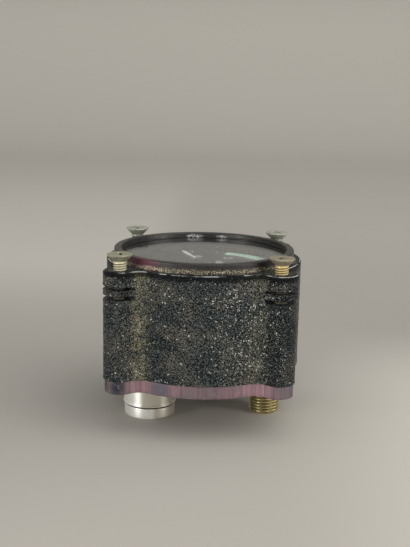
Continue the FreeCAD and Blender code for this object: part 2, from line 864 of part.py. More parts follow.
# Hairspring: a flat strip wound in an Archimedean spiral from the collet out to a stud
spring_bottom = lower_top + spring_lift
spring_top = spring_bottom + spring_width
spring_outer_radius = spring_inner_radius + spring_pitch * spring_turns


def spiral(offset, steps_per_turn=24):
    """Points of a spiral whose radius grows by one pitch each turn, moved outwards by an offset."""
    steps = spring_turns * steps_per_turn
    points = []
    for step in range(steps + 1):
        turns = step / steps_per_turn
        radius = spring_inner_radius + offset + spring_pitch * turns
        angle = spring_end_angle + 360 * (turns - spring_turns)
        points.append(Vector(*polar(radius, angle), spring_bottom))
    return points


spring_outline = spiral(-spring_strip / 2) + list(reversed(spiral(spring_strip / 2)))
hairspring = Part.Face(Part.makePolygon(spring_outline + spring_outline[:1]))
hairspring = hairspring.extrude(Vector(0, 0, spring_width))
save("hairspring", [hairspring])
collet_middle = (spring_bottom + spring_top) / 2
collet_radius = spring_inner_radius - spring_strip / 2 - tapped_fit
collet_low = collet_middle - collet_height / 2
collet = ring(collet_radius, arbor_radius, collet_low, collet_low + collet_height)
save("hairspring_collet", [collet])
stud_inner = spring_outer_radius + spring_strip / 2 + tapped_fit
spring_stud = Part.makeBox(
    2 * stud_half_width,
    2 * stud_half_width,
    spring_top - lower_top,
    Vector(stud_inner, -stud_half_width, lower_top),
)
spring_stud.rotate(Vector(0, 0, 0), Vector(0, 0, 1), spring_end_angle)
save("hairspring_stud", [spring_stud])


# Bourdon tube: a flattened tube bent round the cavity, from the socket block to its closed tip
tube_middle = lower_bottom - tube_drop


def flat_section(radius, half_width, half_height, degrees):
    """Upright flattened section with tapered ends, on a circle of a given radius at a given angle."""
    shoulder = half_height - half_width
    nose = tube_nose_half_width
    corners = [
        (half_width, -shoulder),
        (half_width, shoulder),
        (nose, half_height),
        (-nose, half_height),
        (-half_width, shoulder),
        (-half_width, -shoulder),
        (-nose, -half_height),
        (nose, -half_height),
    ]
    points = [Vector(*polar(radius + out, degrees), tube_middle + up) for out, up in corners]
    return Part.Face(Part.makePolygon(points + points[:1]))


def bent_bar(grow, start_angle, end_angle):
    """The tube's section, grown or shrunk all round, swept clockwise between two angles."""
    section = flat_section(tube_radius, tube_width / 2 + grow, tube_height / 2 + grow, start_angle)
    return section.revolve(Vector(0, 0, 0), Vector(0, 0, 1), end_angle - start_angle)


tube_end_angle = tube_tip_angle - 360 - tip_wall_angle
bourdon_tube = bent_bar(0, tube_start_angle, tube_end_angle)
bourdon_tube = bourdon_tube.cut(bent_bar(-tube_wall, tube_start_angle, tube_end_angle))
save("bourdon_tube", [bourdon_tube])

tip_low = tube_middle - tube_height / 2 - tip_cover
tip_high = tube_middle + tube_height / 2 + tip_cover
tip_points = [
    Vector(*polar(tube_radius - tube_width / 2 - tip_cover, tube_tip_angle - tip_half_angle), tip_low),
    Vector(*polar(tube_radius + tube_width / 2 + tip_cover, tube_tip_angle - tip_half_angle), tip_low),
    Vector(*polar(tube_radius + tube_width / 2 + tip_cover, tube_tip_angle - tip_half_angle), tip_high),
    Vector(*polar(tube_radius - tube_width / 2 - tip_cover, tube_tip_angle - tip_half_angle), tip_high),
]
tip_block = Part.Face(Part.makePolygon(tip_points + tip_points[:1]))
tip_block = tip_block.revolve(Vector(0, 0, 0), Vector(0, 0, 1), 2 * tip_half_angle)
tip_pocket = bent_bar(braze_gap, tube_end_angle, tube_end_angle + tip_pocket_sweep)
tip_head_low = link_top + link_end_play
tube_tip = joined(
    tip_block.cut(tip_pocket),
    cylinder(tip_post_radius, tip_high, pin_head_top, tip_at),
    cylinder(link_pin_radius, pin_head_top, tip_head_low, tip_at),
    cylinder(link_head_radius, tip_head_low, tip_head_low + link_head_height, tip_at),
)
save("tube_tip", [tube_tip])

socket = Part.makeBox(
    2 * socket_half_width,
    socket_front_reach + socket_rear_reach,
    lower_bottom - spigot_top,
    Vector(port_at[0] - socket_half_width, port_at[1] - socket_rear_reach, spigot_top),
)
upright = [edge for edge in socket.Edges if edge.BoundBox.ZLength > 1]
socket = socket.makeFillet(socket_round, upright)
port_shank_top = spigot_top + port_thread_in_socket
pocket_end = tube_start_angle + tapped_fit
socket_cuts = [
    cylinder(port_shank_radius, spigot_top, port_shank_top, port_at),
    cylinder(pressure_hole_radius, port_shank_top, tube_middle, port_at),
    bent_bar(braze_gap, pocket_end, tube_start_angle - socket_pocket_sweep),
    Part.makeCylinder(
        pressure_hole_radius, port_at[1], Vector(port_at[0], 0, tube_middle), Vector(0, 1, 0)
    ),
]
for screw_place in socket_screw_places:
    hole_bottom = lower_bottom - socket_hole_depth
    socket_cuts.append(cylinder(screw_hole_radius, hole_bottom, lower_bottom, screw_place))
socket = socket.cut(socket_cuts)
save("tube_socket", [socket])


# Pressure port: a union with a hexagon, which clamps the socket block to the rear plate
def hexagon(across_flats, low, high, at):
    """Upright hexagonal bar with its corners turned off at both ends."""
    corner = across_flats / math.sqrt(3)
    points = [Vector(*polar(corner, 60 * side, at), low) for side in range(7)]
    bar = Part.Face(Part.makePolygon(points)).extrude(Vector(0, 0, high - low))
    flat = across_flats / 2
    turned_bar = turned(
        [(0, low), (flat, low), (corner, low + (corner - flat)), (corner, high), (0, high)],
        at,
    )
    return bar.common(turned_bar)


washer_bottom = plate_bottom - port_washer_thickness
hexagon_bottom = washer_bottom - port_hexagon_height
relief_bottom = hexagon_bottom - port_relief_width
seat_depth = port_seat_radius - port_bore_radius
port_nose = turned(
    [
        (0, foot_level),
        (port_radius - port_chamfer, foot_level),
        (port_radius, foot_level + port_chamfer),
        (port_radius, relief_bottom),
        (port_radius - port_relief_depth, relief_bottom),
        (port_radius - port_relief_depth, hexagon_bottom),
        (0, hexagon_bottom),
    ],
    port_at,
)
pressure_port = joined(
    port_nose,
    hexagon(port_hexagon, hexagon_bottom, washer_bottom, port_at),
    cylinder(port_shank_radius - tapped_fit, washer_bottom, port_shank_top - end_shake, port_at),
)
pressure_port = pressure_port.cut(cylinder(port_bore_radius, foot_level, port_shank_top, port_at))
pressure_port = pressure_port.cut(
    cone(port_seat_radius, port_bore_radius, foot_level, foot_level + seat_depth, port_at)
)
save("pressure_port", [pressure_port])
save("port_washer", [ring(port_washer_radius, port_hole_radius, washer_bottom, plate_bottom, port_at)])


# Receptacle: shell through the rear plate, held by a locknut inside, with contacts in an insulator
shell_top = plate_bottom - receptacle_gasket_thickness
shell_bottom = shell_top - shell_height
nose_bottom = shell_bottom - nose_length
barrel_top = spigot_top + locknut_height + barrel_above_nut
insulator_bore = insulator_radius + insulator_fit
receptacle_shell = turned(
    [
        (insulator_bore, nose_bottom),
        (nose_radius, nose_bottom),
        (nose_radius, shell_bottom),
        (shell_radius - shell_chamfer, shell_bottom),
        (shell_radius, shell_bottom + shell_chamfer),
        (shell_radius, shell_top),
        (barrel_radius, shell_top),
        (barrel_radius, barrel_top),
        (insulator_bore, barrel_top),
    ],
    receptacle_at,
)
save("receptacle_shell", [receptacle_shell])
receptacle_gasket = ring(shell_radius, barrel_radius + barrel_fit, shell_top, plate_bottom, receptacle_at)
save("receptacle_gasket", [receptacle_gasket])
locknut_top = spigot_top + locknut_height
locknut = ring(locknut_radius, barrel_radius + tapped_fit, spigot_top, locknut_top, receptacle_at)
for side in range(4):
    notch = Part.makeBox(
        locknut_notch,
        locknut_notch,
        locknut_height,
        Vector(locknut_radius - locknut_notch / 2, -locknut_notch / 2, spigot_top),
    )
    notch.rotate(Vector(0, 0, 0), Vector(0, 0, 1), 90 * side)
    notch.translate(Vector(receptacle_at[0], receptacle_at[1], 0))
    locknut = locknut.cut(notch)
save("receptacle_locknut", [locknut])
insulator_bottom = nose_bottom + insulator_set_in
insulator_top = insulator_bottom + insulator_height
insulator = cylinder(insulator_radius, insulator_bottom, insulator_top, receptacle_at)
contact_places = [
    polar(contact_orbit_radius, 45 + 360 * contact / contact_count, receptacle_at)
    for contact in range(contact_count)
]
contacts = []
for contact_place in contact_places:
    insulator = insulator.cut(cylinder(contact_radius, insulator_bottom, insulator_top, contact_place))
    pin_bottom = insulator_bottom - contact_length
    pin = cylinder(contact_radius, pin_bottom, insulator_top + contact_cup_height, contact_place)
    cup = cylinder(
        contact_cup_radius,
        insulator_top + contact_cup_height / 2,
        insulator_top + contact_cup_height,
        contact_place,
    )
    contacts.append(pin.cut(cup))
save("receptacle_insulator", [insulator])
save("receptacle_contacts", contacts)

cap_top = shell_bottom - cap_gap
cap_floor_top = foot_level + cap_floor
cap_inner_radius = nose_radius + cap_fit
dust_cap = turned(
    [
        (0, foot_level),
        (cap_radius - cap_chamfer, foot_level),
        (cap_radius, foot_level + cap_chamfer),
        (cap_radius, cap_top),
        (cap_inner_radius, cap_top),
        (cap_inner_radius, cap_floor_top),
        (0, cap_floor_top),
    ],
    receptacle_at,
)
save("dust_cap", [dust_cap])
cap_seal = ring(nose_radius, nose_radius - cap_seal_width, cap_floor_top, nose_bottom, receptacle_at)
save("dust_cap_seal", [cap_seal])


# Dial lamps in sleeves, each with a wire from one contact. The plates carry the return
flange_top = upper_top + lamp_flange_thickness
sleeve_bottom = flange_top - lamp_sleeve_length
lamp_top = sleeve_bottom + lamp_length
sleeves = []
lamps = []
for lamp_place in lamp_places:
    body = ring(lamp_sleeve_radius, lamp_radius + lamp_fit, sleeve_bottom, flange_top, lamp_place)
    flange = ring(
        lamp_sleeve_radius + lamp_flange_width, lamp_radius + lamp_fit, upper_top, flange_top, lamp_place
    )
    sleeves.append(joined(body, flange))
    bulb = cylinder(lamp_radius, sleeve_bottom, lamp_top - lamp_radius, lamp_place)
    dome = Part.makeSphere(lamp_radius, Vector(lamp_place[0], lamp_place[1], lamp_top - lamp_radius))
    lamps.append(joined(bulb, dome))
save("lamp_sleeves", sleeves)
save("lamps", lamps)


def wire(start, end, crossing_level):
    """Round wire that drops from a lamp, crosses at one level and drops to a contact."""
    corner_a = Vector(start.x, start.y, crossing_level)
    corner_b = Vector(end.x, end.y, crossing_level)
    across = Vector(corner_b - corner_a).normalize()
    bend = min(wire_bend, Vector(corner_b - corner_a).Length / 2 - wire_straight)
    slant = math.sqrt(0.5)
    into_a = corner_a + Vector(0, 0, bend)
    out_a = corner_a + across * bend
    knee_a = corner_a + (across + Vector(0, 0, 1)) * bend * (1 - slant)
    into_b = corner_b - across * bend
    out_b = corner_b - Vector(0, 0, bend)
    knee_b = corner_b - (across + Vector(0, 0, 1)) * bend * (1 - slant)
    path = Part.Wire(
        [
            Part.makeLine(start, into_a),
            Part.Arc(into_a, knee_a, out_a).toShape(),
            Part.makeLine(out_a, into_b),
            Part.Arc(into_b, knee_b, out_b).toShape(),
            Part.makeLine(out_b, end),
        ]
    )
    circle = Part.Wire(Part.makeCircle(wire_radius, start, Vector(0, 0, -1)))
    return path.makePipeShell([circle], True, False)


wires = []
for lamp, lamp_place in enumerate(lamp_places):
    start = Vector(lamp_place[0], lamp_place[1], sleeve_bottom - wire_gap)
    contact = contact_places[(1, 3)[lamp]]
    end = Vector(contact[0], contact[1], insulator_top + contact_cup_height + wire_gap)
    level = lower_bottom - wire_drop - wire_level_step * lamp
    wires.append(wire(start, end, level))
save("lamp_wires", wires)
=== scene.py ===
import bpy
import bmesh
import numpy as np
from mathutils import Matrix, Vector
from mathutils.geometry import delaunay_2d_cdt


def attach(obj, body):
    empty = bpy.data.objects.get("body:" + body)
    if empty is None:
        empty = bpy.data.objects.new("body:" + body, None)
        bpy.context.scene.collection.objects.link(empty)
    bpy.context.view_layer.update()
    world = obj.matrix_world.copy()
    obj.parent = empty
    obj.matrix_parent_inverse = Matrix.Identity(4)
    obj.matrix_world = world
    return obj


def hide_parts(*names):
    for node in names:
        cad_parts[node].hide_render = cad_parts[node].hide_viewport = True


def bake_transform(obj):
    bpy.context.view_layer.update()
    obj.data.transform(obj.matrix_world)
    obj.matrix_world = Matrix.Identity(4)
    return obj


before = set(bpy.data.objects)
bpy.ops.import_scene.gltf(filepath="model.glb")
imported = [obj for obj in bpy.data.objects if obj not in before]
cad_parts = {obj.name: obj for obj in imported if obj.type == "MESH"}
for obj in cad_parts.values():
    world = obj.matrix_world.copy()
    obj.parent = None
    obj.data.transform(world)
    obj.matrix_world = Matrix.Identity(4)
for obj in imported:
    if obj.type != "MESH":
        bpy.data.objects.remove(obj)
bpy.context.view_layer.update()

# Case: a cast aluminium body with four lugs under thick black crackle paint. Two saw kerfs run
# across each lug a little past its screw, so that the thin leaves between them grip the thread.
# The paint is baked on and worn to a dusty olive in the valleys; a highlight is painted along the top edge.
lug_distance = 47.625 / np.sqrt(2)
lug_angles = (45, 135, 225, 315)
case_radius, lug_radius, lug_fillet, case_depth = 30.8, 5.1, 4.0, 33.4
top_rounding, foot_rounding, rim_width, row_step = 0.8, 0.4, 0.1, 0.34
kerf_offset, kerf_rounding = 1.4, 0.3
kerf_line = lug_distance - kerf_offset
kerf_spans = ((-4.6, -5.6), (-7.3, -8.65))
kerf_levels = [level for span in kerf_spans for level in span]
bore_radius, bore_depth = 2.05, 13.0
cover_bore_radius, cover_bore_top = 1.55, -25.9
counterbore, mouth, ledge_bore, cavity = 28.15, 28.5, 25.6, 28.0
ledge_top, ledge_foot = -2.9, -4.5

# Points of the outline at each corner: both fillets, each with a part within the kerf, lug, body
fillet_points, kerf_fillet_points, lug_points, body_points = 12, 4, 48, 94
corner_points = 2 * (fillet_points + kerf_fillet_points) + lug_points + body_points
outline_points = len(lug_angles) * corner_points
kerf_quads = lug_points + 2 * kerf_fillet_points
kerf_first, kerf_last = fillet_points, fillet_points + kerf_quads


def polar(radius, degrees, centre=(0, 0)):
    """Points at a radius and an angle from a centre."""
    turn = np.radians(degrees)
    return np.stack([centre[0] + radius * np.cos(turn), centre[1] + radius * np.sin(turn)], -1)


def grid_faces(rows, columns):
    """Quads between each row of a grid of points and the next, and from last column to first."""
    column = np.arange(columns)
    first = np.arange(rows - 1)[:, None] * columns
    here, after = first + column, first + (column + 1) % columns
    return np.stack([here, after, after + columns, here + columns], -1).reshape(-1, 4)


def flat_patch(loops, level):
    """Flat face between closed loops at one level: the triangles between their points whose
    middle lies inside an odd number of loops, counted by the sides that a ray from it crosses."""
    sides, total = [], 0
    for loop in loops:
        index = total + np.arange(len(loop))
        sides.append(np.stack([index, np.roll(index, -1)], -1))
        total += len(loop)
    one, sides = np.concatenate(loops), np.concatenate(sides)
    two = one[sides[:, 1]]
    places, _, faces, *_ = delaunay_2d_cdt([Vector(point) for point in one], sides.tolist(), [], 0, 1e-7)
    flat, faces = np.array([(place.x, place.y) for place in places]), np.array(faces)
    middle = flat[faces].mean(1)[:, None]
    spans = (one[:, 1] > middle[:, :, 1]) != (two[:, 1] > middle[:, :, 1])
    slope = (two[:, 0] - one[:, 0]) / np.where(two[:, 1] == one[:, 1], 1e-9, two[:, 1] - one[:, 1])
    crossings = spans & (middle[:, :, 0] < one[:, 0] + slope * (middle[:, :, 1] - one[:, 1]))
    inside = crossings.sum(1) % 2 == 1
    return np.column_stack([flat, np.full(len(flat), level)]), faces[inside]


def added(name, data):
    """A new object in the scene for a mesh, a text, a lamp or a camera."""
    thing = bpy.data.objects.new(name, data)
    bpy.context.collection.objects.link(thing)
    return thing


def build(name, patches, finish, body, crease=32, replaced=(), values=None):
    """One mesh from patches of (points in millimetres, faces): welded, normals outward, smooth
    up to a crease angle. It rides on a body given by name; a body given in another form is not
    used and the mesh stays in place. It takes the finish's material and hides the CAD nodes it stands for."""
    points, faces, total = [], [], 0
    for patch_points, patch_faces in patches:
        patch_points = np.asarray(patch_points, float).reshape(-1, 3)
        points.append(patch_points)
        faces += (np.asarray(patch_faces) + total).tolist()
        total += len(patch_points)
    mesh = bpy.data.meshes.new(name)
    mesh.from_pydata(np.concatenate(points) * 0.001, [], faces)
    for key, numbers in (values or {}).items():
        spread = np.zeros(total)
        spread[: len(numbers)] = numbers
        mesh.attributes.new(key, "FLOAT", "POINT").data.foreach_set("value", spread)
    shell = bmesh.new()
    shell.from_mesh(mesh)
    bmesh.ops.remove_doubles(shell, verts=shell.verts, dist=2e-6)
    bmesh.ops.dissolve_degenerate(shell, edges=shell.edges, dist=1e-7)
    bmesh.ops.recalc_face_normals(shell, faces=shell.faces)
    shell.to_mesh(mesh)
    shell.free()
    mesh.polygons.foreach_set("use_smooth", np.ones(len(mesh.polygons), bool))
    mesh.set_sharp_from_angle(angle=np.radians(crease))
    mesh.materials.append(finish.material)
    piece = added(name, mesh)
    if isinstance(body, str):
        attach(piece, body)
    else:
        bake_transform(piece)
    if replaced:
        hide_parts(*replaced)


class Finish:
    """A material's node tree, with short calls for the nodes that its pattern is made of."""

    def __init__(self, name, color, roughness=0.5, metallic=0.0, **sockets):
        self.material = bpy.data.materials.new(name)
        self.material.use_nodes = True
        self.tree = self.material.node_tree
        self.shader = self.tree.nodes["Principled BSDF"]
        self.place = self.tree.nodes.new("ShaderNodeTexCoord").outputs["Object"]
        self.shader.inputs["Base Color"].default_value = (*color, 1.0)
        self.shader.inputs["Roughness"].default_value = roughness
        self.shader.inputs["Metallic"].default_value = metallic
        for socket, value in sockets.items():
            self.shader.inputs[socket.replace("_", " ")].default_value = value

    def node(self, kind, links=None, **settings):
        """A new node with its settings; each named input is linked to a socket or given a value."""
        made = self.tree.nodes.new(kind)
        for key, value in settings.items():
            setattr(made, key, value)
        for socket, value in (links or {}).items():
            if isinstance(value, bpy.types.NodeSocket):
                self.tree.links.new(value, made.inputs[socket])
            else:
                made.inputs[socket].default_value = value
        return made

    def stretched(self, scale, at=(0, 0, 0)):
        """Object coordinates in millimetres about a point, then scaled along each axis."""
        centre = tuple(0.001 * float(n) for n in at)
        factor = tuple(1000.0 * float(n) for n in scale)
        moved = self.node("ShaderNodeVectorMath", {0: self.place, 1: centre}, operation="SUBTRACT")
        links = {0: moved.outputs[0], 1: factor}
        return self.node("ShaderNodeVectorMath", links, operation="MULTIPLY").outputs[0]

    def split(self, at=(0, 0, 0)):
        """Object coordinates in millimetres about a point, as three numbers."""
        return self.node("ShaderNodeSeparateXYZ", {0: self.stretched((1, 1, 1), at)}).outputs

    def distance(self, centre=(0, 0, 0), scale=(1, 1, 1)):
        """Distance from a point in scaled millimetres."""
        links = {0: self.stretched(scale, centre)}
        return self.node("ShaderNodeVectorMath", links, operation="LENGTH").outputs["Value"]

    def noise(self, scale, detail=3.0, rough=0.55, axes=(1, 1, 1)):
        """Noise whose features are about 1 / scale millimetres across; axes stretch it."""
        where = self.stretched(np.array(axes) * scale)
        links = {"Vector": where, "Scale": 1.0, "Detail": detail, "Roughness": rough}
        return self.node("ShaderNodeTexNoise", links).outputs["Fac"]

    def cells(self, scale, feature="F1"):
        """Cell pattern whose cells are about 1 / scale millimetres across."""
        links = {"Vector": self.stretched(np.full(3, scale)), "Scale": 1.0}
        return self.node("ShaderNodeTexVoronoi", links, feature=feature).outputs

    def ramp(self, value, low, high, out_low=0.0, out_high=1.0):
        """Smooth step from one number to another as a value goes from low to high."""
        links = {"Value": value, "From Min": low, "From Max": high, "To Min": out_low, "To Max": out_high}
        return self.node("ShaderNodeMapRange", links, interpolation_type="SMOOTHSTEP").outputs["Result"]

    def fade(self, value, low, high):
        """One where a value is low, falling to zero where it is high."""
        return self.ramp(value, low, high, 1.0, 0.0)

    def near(self, centre, reach, scale=(1, 1, 1)):
        """One at a point, falling to zero at a distance from it in scaled millimetres."""
        return self.fade(self.distance(centre, scale), 0.35 * reach, reach)

    def math(self, operation, first, second=0.0):
        """One arithmetic step on two numbers."""
        return self.node("ShaderNodeMath", {0: first, 1: second}, operation=operation).outputs[0]

    def times(self, first, second):
        """Product of two numbers."""
        return self.math("MULTIPLY", first, second)

    def mix(self, factor, first, second):
        """Colour that goes from the first to the second with the factor."""
        first, second = ((*c, 1.0) if isinstance(c, tuple) else c for c in (first, second))
        return self.node("ShaderNodeMix", {0: factor, 6: first, 7: second}, data_type="RGBA").outputs[2]

    def attribute(self, name):
        """Numbers that build() has stored on the points of the mesh."""
        return self.node("ShaderNodeAttribute", attribute_name=name).outputs["Fac"]

    def use(self, socket, value):
        """Links a pattern to a socket of the shader."""
        self.tree.links.new(value, self.shader.inputs[socket])

    def dull(self, low, high, scale):
        """Roughness that wanders between two numbers over soft patches."""
        self.use("Roughness", self.ramp(self.noise(scale), 0.3, 0.7, low, high))

    def bump(self, height, depth=0.01, strength=0.5):
        """Bump of a given depth in millimetres for heights from 0 to 1, over any bump made before."""
        links = {"Height": height, "Distance": depth * 0.001, "Strength": strength}
        if self.shader.inputs["Normal"].is_linked:
            links["Normal"] = self.shader.inputs["Normal"].links[0].from_socket
        self.use("Normal", self.node("ShaderNodeBump", links).outputs[0])


def outline(inset):
    """The case's outline moved in by an inset, anticlockwise: for each lug a concave fillet off
    the body, the lug's arc, a fillet back, then the body's arc to the next lug. A point is its
    arc's centre plus the radius along an angle."""
    body, lug, fillet = case_radius - inset, lug_radius - inset, lug_fillet + inset
    reach, grip = case_radius + lug_fillet, lug_radius + lug_fillet
    half = np.degrees(np.arccos((reach**2 + lug_distance**2 - grip**2) / (2 * reach * lug_distance)))
    side = polar(reach, half)
    crown = np.degrees(np.arctan2(side[1], side[0] - lug_distance))
    cut = np.degrees(np.arccos((kerf_line - side[0]) / lug_fillet))
    parts = []
    for corner in lug_angles:
        first, last = polar(reach, corner - half), polar(reach, corner + half)
        for radius, start, end, count, centre in (
            (fillet, 180 - half, cut, fillet_points, first),
            (fillet, cut, 180 - crown, kerf_fillet_points, first),
            (lug, -crown, crown, lug_points, polar(lug_distance, corner)),
            (fillet, crown - 180, -cut, kerf_fillet_points, last),
            (fillet, -cut, half - 180, fillet_points, last),
            (body, half, 90 - half, body_points, (0.0, 0.0)),
        ):
            parts.append(polar(radius, corner + np.linspace(start, end, count, endpoint=False), centre))
    return np.concatenate(parts)


def rounded_rows(top, foot, top_radius, foot_radius, step, cuts=()):
    """Levels and insets down a wall: a flat rim, a quarter circle, the wall, a quarter circle.
    Each cut keeps its two levels, with closer rows outside it and none between them."""
    quarter = np.linspace(0, np.pi / 2, 6)
    close_rows = np.array([0.3, 0.12, 0.03, 0.0])
    over = [(top, top_radius + rim_width)]
    over += [(top - top_radius * (1 - np.cos(a)), top_radius * (1 - np.sin(a))) for a in quarter]
    count = int((top - top_radius - foot - foot_radius) / step)
    levels = np.linspace(top - top_radius, foot + foot_radius, count)[1:-1]
    for upper, lower in cuts:
        clear = (levels > upper + step) | (levels < lower - step)
        levels = np.concatenate([levels[clear], upper + close_rows, lower - close_rows])
    levels = np.sort(levels)
    flat = [(level, 0.0) for level in levels[::-1]]
    under = [(foot + foot_radius * (1 - np.sin(a)), foot_radius * (1 - np.cos(a))) for a in quarter]
    return np.array(over + flat + under + [(foot, foot_radius + rim_width)])


def lofted(loops, levels):
    """Patch through closed loops of points, each at its level."""
    rows = [np.column_stack([loop, np.full(len(loop), level)]) for loop, level in zip(loops, levels)]
    return np.array(rows), grid_faces(len(rows), len(rows[0]))


def turned_patch(profile, columns, at=(0, 0), lift=0.0):
    """Surface of revolution: each (radius, level) of a profile, lifted and carried round an
    upright axis. A radius is one number, or one for each column."""
    turns = np.arange(columns) * 360 / columns
    return lofted([polar(radius, turns, at) for radius, _ in profile], [level + lift for _, level in profile])


def scatter(cell):
    """Three numbers from 0 to 1 for each lattice cell: the fraction of a large sine."""
    waves = cell @ np.array([[12.99, 39.35, 73.16], [78.23, 11.13, 52.24], [37.72, 83.16, 9.15]])
    return np.modf(np.sin(waves) * 43758.5453)[0] % 1.0


def pebbles(points, size):
    """Cell pattern: distance to the second nearest scattered point less that to the nearest."""
    base = np.floor(points / size)
    nearest, second = np.full(len(points), 9.0), np.full(len(points), 9.0)
    for step in np.ndindex(3, 3, 3):
        cell = base + np.array(step) - 1
        distance = np.linalg.norm(cell + scatter(cell) - points / size, axis=1)
        second = np.minimum(second, np.maximum(nearest, distance))
        nearest = np.minimum(nearest, distance)
    return second - nearest


case_rows = rounded_rows(0.0, -case_depth, top_rounding, foot_rounding, row_step, kerf_spans)
row_levels = case_rows[:, :1]
wall, wall_faces = lofted([outline(inset) for inset in case_rows[:, 1]], case_rows[:, 0])
away = outline(0) - outline(1.0)
corner_column = np.arange(outline_points) % corner_points
lug_ends = [kerf_first, kerf_first + kerf_fillet_points, kerf_last - kerf_fillet_points - 1, kerf_last - 1]
lug_middle = np.interp(corner_column, lug_ends, [0, 1, 1, 0])

# The kerfs' edges are rounded. The crackle is pebbles of two sizes, sunk at their seams, which
# run out at the kerfs and at both ends of the wall.
grain_size, grain_seam, grain_depth, swell_size, swell_depth = 1.3, 0.45, 0.10, 4.5, 0.07
kerf_smooth, end_smooth, top_fade = 0.35, 0.5, 0.8
from_kerf = np.abs(row_levels - np.array(kerf_levels)).min(1)
sunk = kerf_rounding * (1 - np.sqrt(1 - (1 - np.clip(from_kerf / kerf_rounding, 0, 1)) ** 2))
by_kerf = (from_kerf[:, None] < kerf_smooth) & (corner_column >= kerf_first) & (corner_column <= kerf_last)
calm = 1.0 - by_kerf
calm *= np.clip((row_levels + end_smooth) / -top_fade, 0, 1)
calm *= np.clip((row_levels + case_depth - end_smooth) / end_smooth, 0, 1)
grain = 1 - np.clip(pebbles(wall.reshape(-1, 3), grain_size) / grain_seam, 0, 1).reshape(wall.shape[:2])
swell = 1 - np.clip(pebbles(wall.reshape(-1, 3), swell_size), 0, 1).reshape(wall.shape[:2])
sunk = sunk[:, None] * lug_middle + (grain_depth * grain + swell_depth * swell) * calm
wall[:, :, :2] -= away * sunk[:, :, None]
kept = np.ones((len(case_rows) - 1, outline_points), bool)
for upper, lower in kerf_spans:
    high, low = (np.argmin(np.abs(row_levels - level)) for level in (upper, lower))
    kept[high:low, (corner_column >= kerf_first) & (corner_column < kerf_last)] = False
case_patches = [(wall, wall_faces[kept.ravel()])]

# The screws' bores open into the kerfs; below them are the blind bores of the rear plate's screws
kerf_side, ten_degrees = 10, np.arange(0, 360, 10)
corner_turn = np.degrees(np.arccos(-kerf_offset / bore_radius))
outer_turns = np.linspace(-corner_turn, corner_turn, kerf_quads + 1 - 2 * kerf_side)
bore_turns = np.concatenate([outer_turns, np.linspace(corner_turn, 360 - corner_turn, 14)[1:-1]])
kerf_edge = outline(0) - away * kerf_rounding * lug_middle[:, None]
screw_bores, cover_bores = [], []
for lug, corner in enumerate(lug_angles):
    centre = polar(lug_distance, corner)
    arc = polar(bore_radius, corner + outer_turns, centre)
    bore = polar(bore_radius, corner + bore_turns, centre)
    rim = kerf_edge[kerf_first + corner_points * lug + np.arange(kerf_quads + 1)]
    first_side = np.linspace(rim[0], arc[0], kerf_side + 1)[:-1]
    last_side = np.linspace(arc[-1], rim[-1], kerf_side + 1)[1:]
    inner = np.concatenate([first_side, arc, last_side])
    for upper, lower in kerf_spans:
        # Roof, back wall and floor of a kerf
        strip, quads = lofted((rim, inner, inner, rim), (upper, upper, lower, lower))
        roof, back, floor = quads.reshape(3, len(rim), 4)[:, :-1]
        case_patches.append((strip, np.concatenate([roof, back[:kerf_side], back[-kerf_side:], floor])))
    levels = [0.0, *kerf_levels, -bore_depth]
    tube, quads = lofted([bore] * len(levels), levels)
    shut = np.ones((len(levels) - 1, len(bore)), bool)
    shut[1::2, : len(outer_turns) - 1] = False
    case_patches += [(tube, quads[shut.ravel()]), flat_patch([bore], -bore_depth)]
    cover = polar(cover_bore_radius, ten_degrees, centre)
    case_patches += [lofted([cover] * 2, (-case_depth, cover_bore_top)), flat_patch([cover], cover_bore_top)]
    screw_bores.append(bore)
    cover_bores.append(cover)

bore_columns = 240
round_turns = np.arange(bore_columns) * 360 / bore_columns
inside = [(mouth, 0.0), (counterbore, counterbore - mouth), (counterbore, ledge_top), (ledge_bore, ledge_top)]
inside += [(ledge_bore, ledge_foot), (cavity, ledge_foot), (cavity, -case_depth)]
case_patches.append(turned_patch(inside, bore_columns))
top_loops = [outline(top_rounding + rim_width), polar(mouth, round_turns), *screw_bores]
foot_loops = [outline(foot_rounding + rim_width), polar(cavity, round_turns), *cover_bores]
case_patches += [flat_patch(top_loops, 0.0), flat_patch(foot_loops, -case_depth)]

# How near a point of the wall is to a valley between body and lug, for the dust in the paint
half_fillet, valley_width = (fillet_points + kerf_fillet_points) // 2, 9.0
valley = np.zeros(outline_points)
for middle in (half_fillet, 3 * half_fillet + lug_points):
    steps = np.arange(outline_points)[:, None] - (middle + corner_points * np.arange(-1, 5))
    valley = np.maximum(valley, np.exp(-((np.abs(steps).min(1) / valley_width) ** 2)))
edge_start, edge_fade = 0.5, 1.6
edge = np.clip(1 + (case_rows[:, 0] + edge_start) / edge_fade, 0, 1)
wall_values = {
    "valley": np.tile(valley, len(case_rows)),
    "edge": np.repeat(edge, outline_points),
    "lug": np.tile(lug_middle, len(case_rows)),
}

coat = Finish("case_crackle_paint", (0.012, 0.012, 0.012), 0.4, Specular_IOR_Level=0.12)
across, _, upward = coat.split()
blot = coat.noise(0.10, 2)
dust = coat.times(coat.attribute("valley"), coat.ramp(coat.noise(0.30, 4), 0.30, 0.62))
dust = coat.times(dust, coat.ramp(across, -8, 8, 1, 0.45))
tops = coat.math("ADD", coat.noise(2.6, 2, 0.8), coat.times(blot, 0.16))
tops = coat.math("ADD", tops, coat.times(dust, 0.035))
tops = coat.math("SUBTRACT", tops, coat.times(coat.attribute("edge"), 0.20))
lug_tone = coat.ramp(across, -8, 8, 0.004, 0.03)
tops = coat.math("SUBTRACT", tops, coat.times(coat.attribute("lug"), lug_tone))
tops = coat.ramp(tops, 0.55, 0.66)
pale = coat.mix(coat.ramp(blot, 0.42, 0.60), (0.096, 0.115, 0.113), (0.128, 0.127, 0.110))
pale = coat.mix(dust, pale, (0.275, 0.258, 0.175))
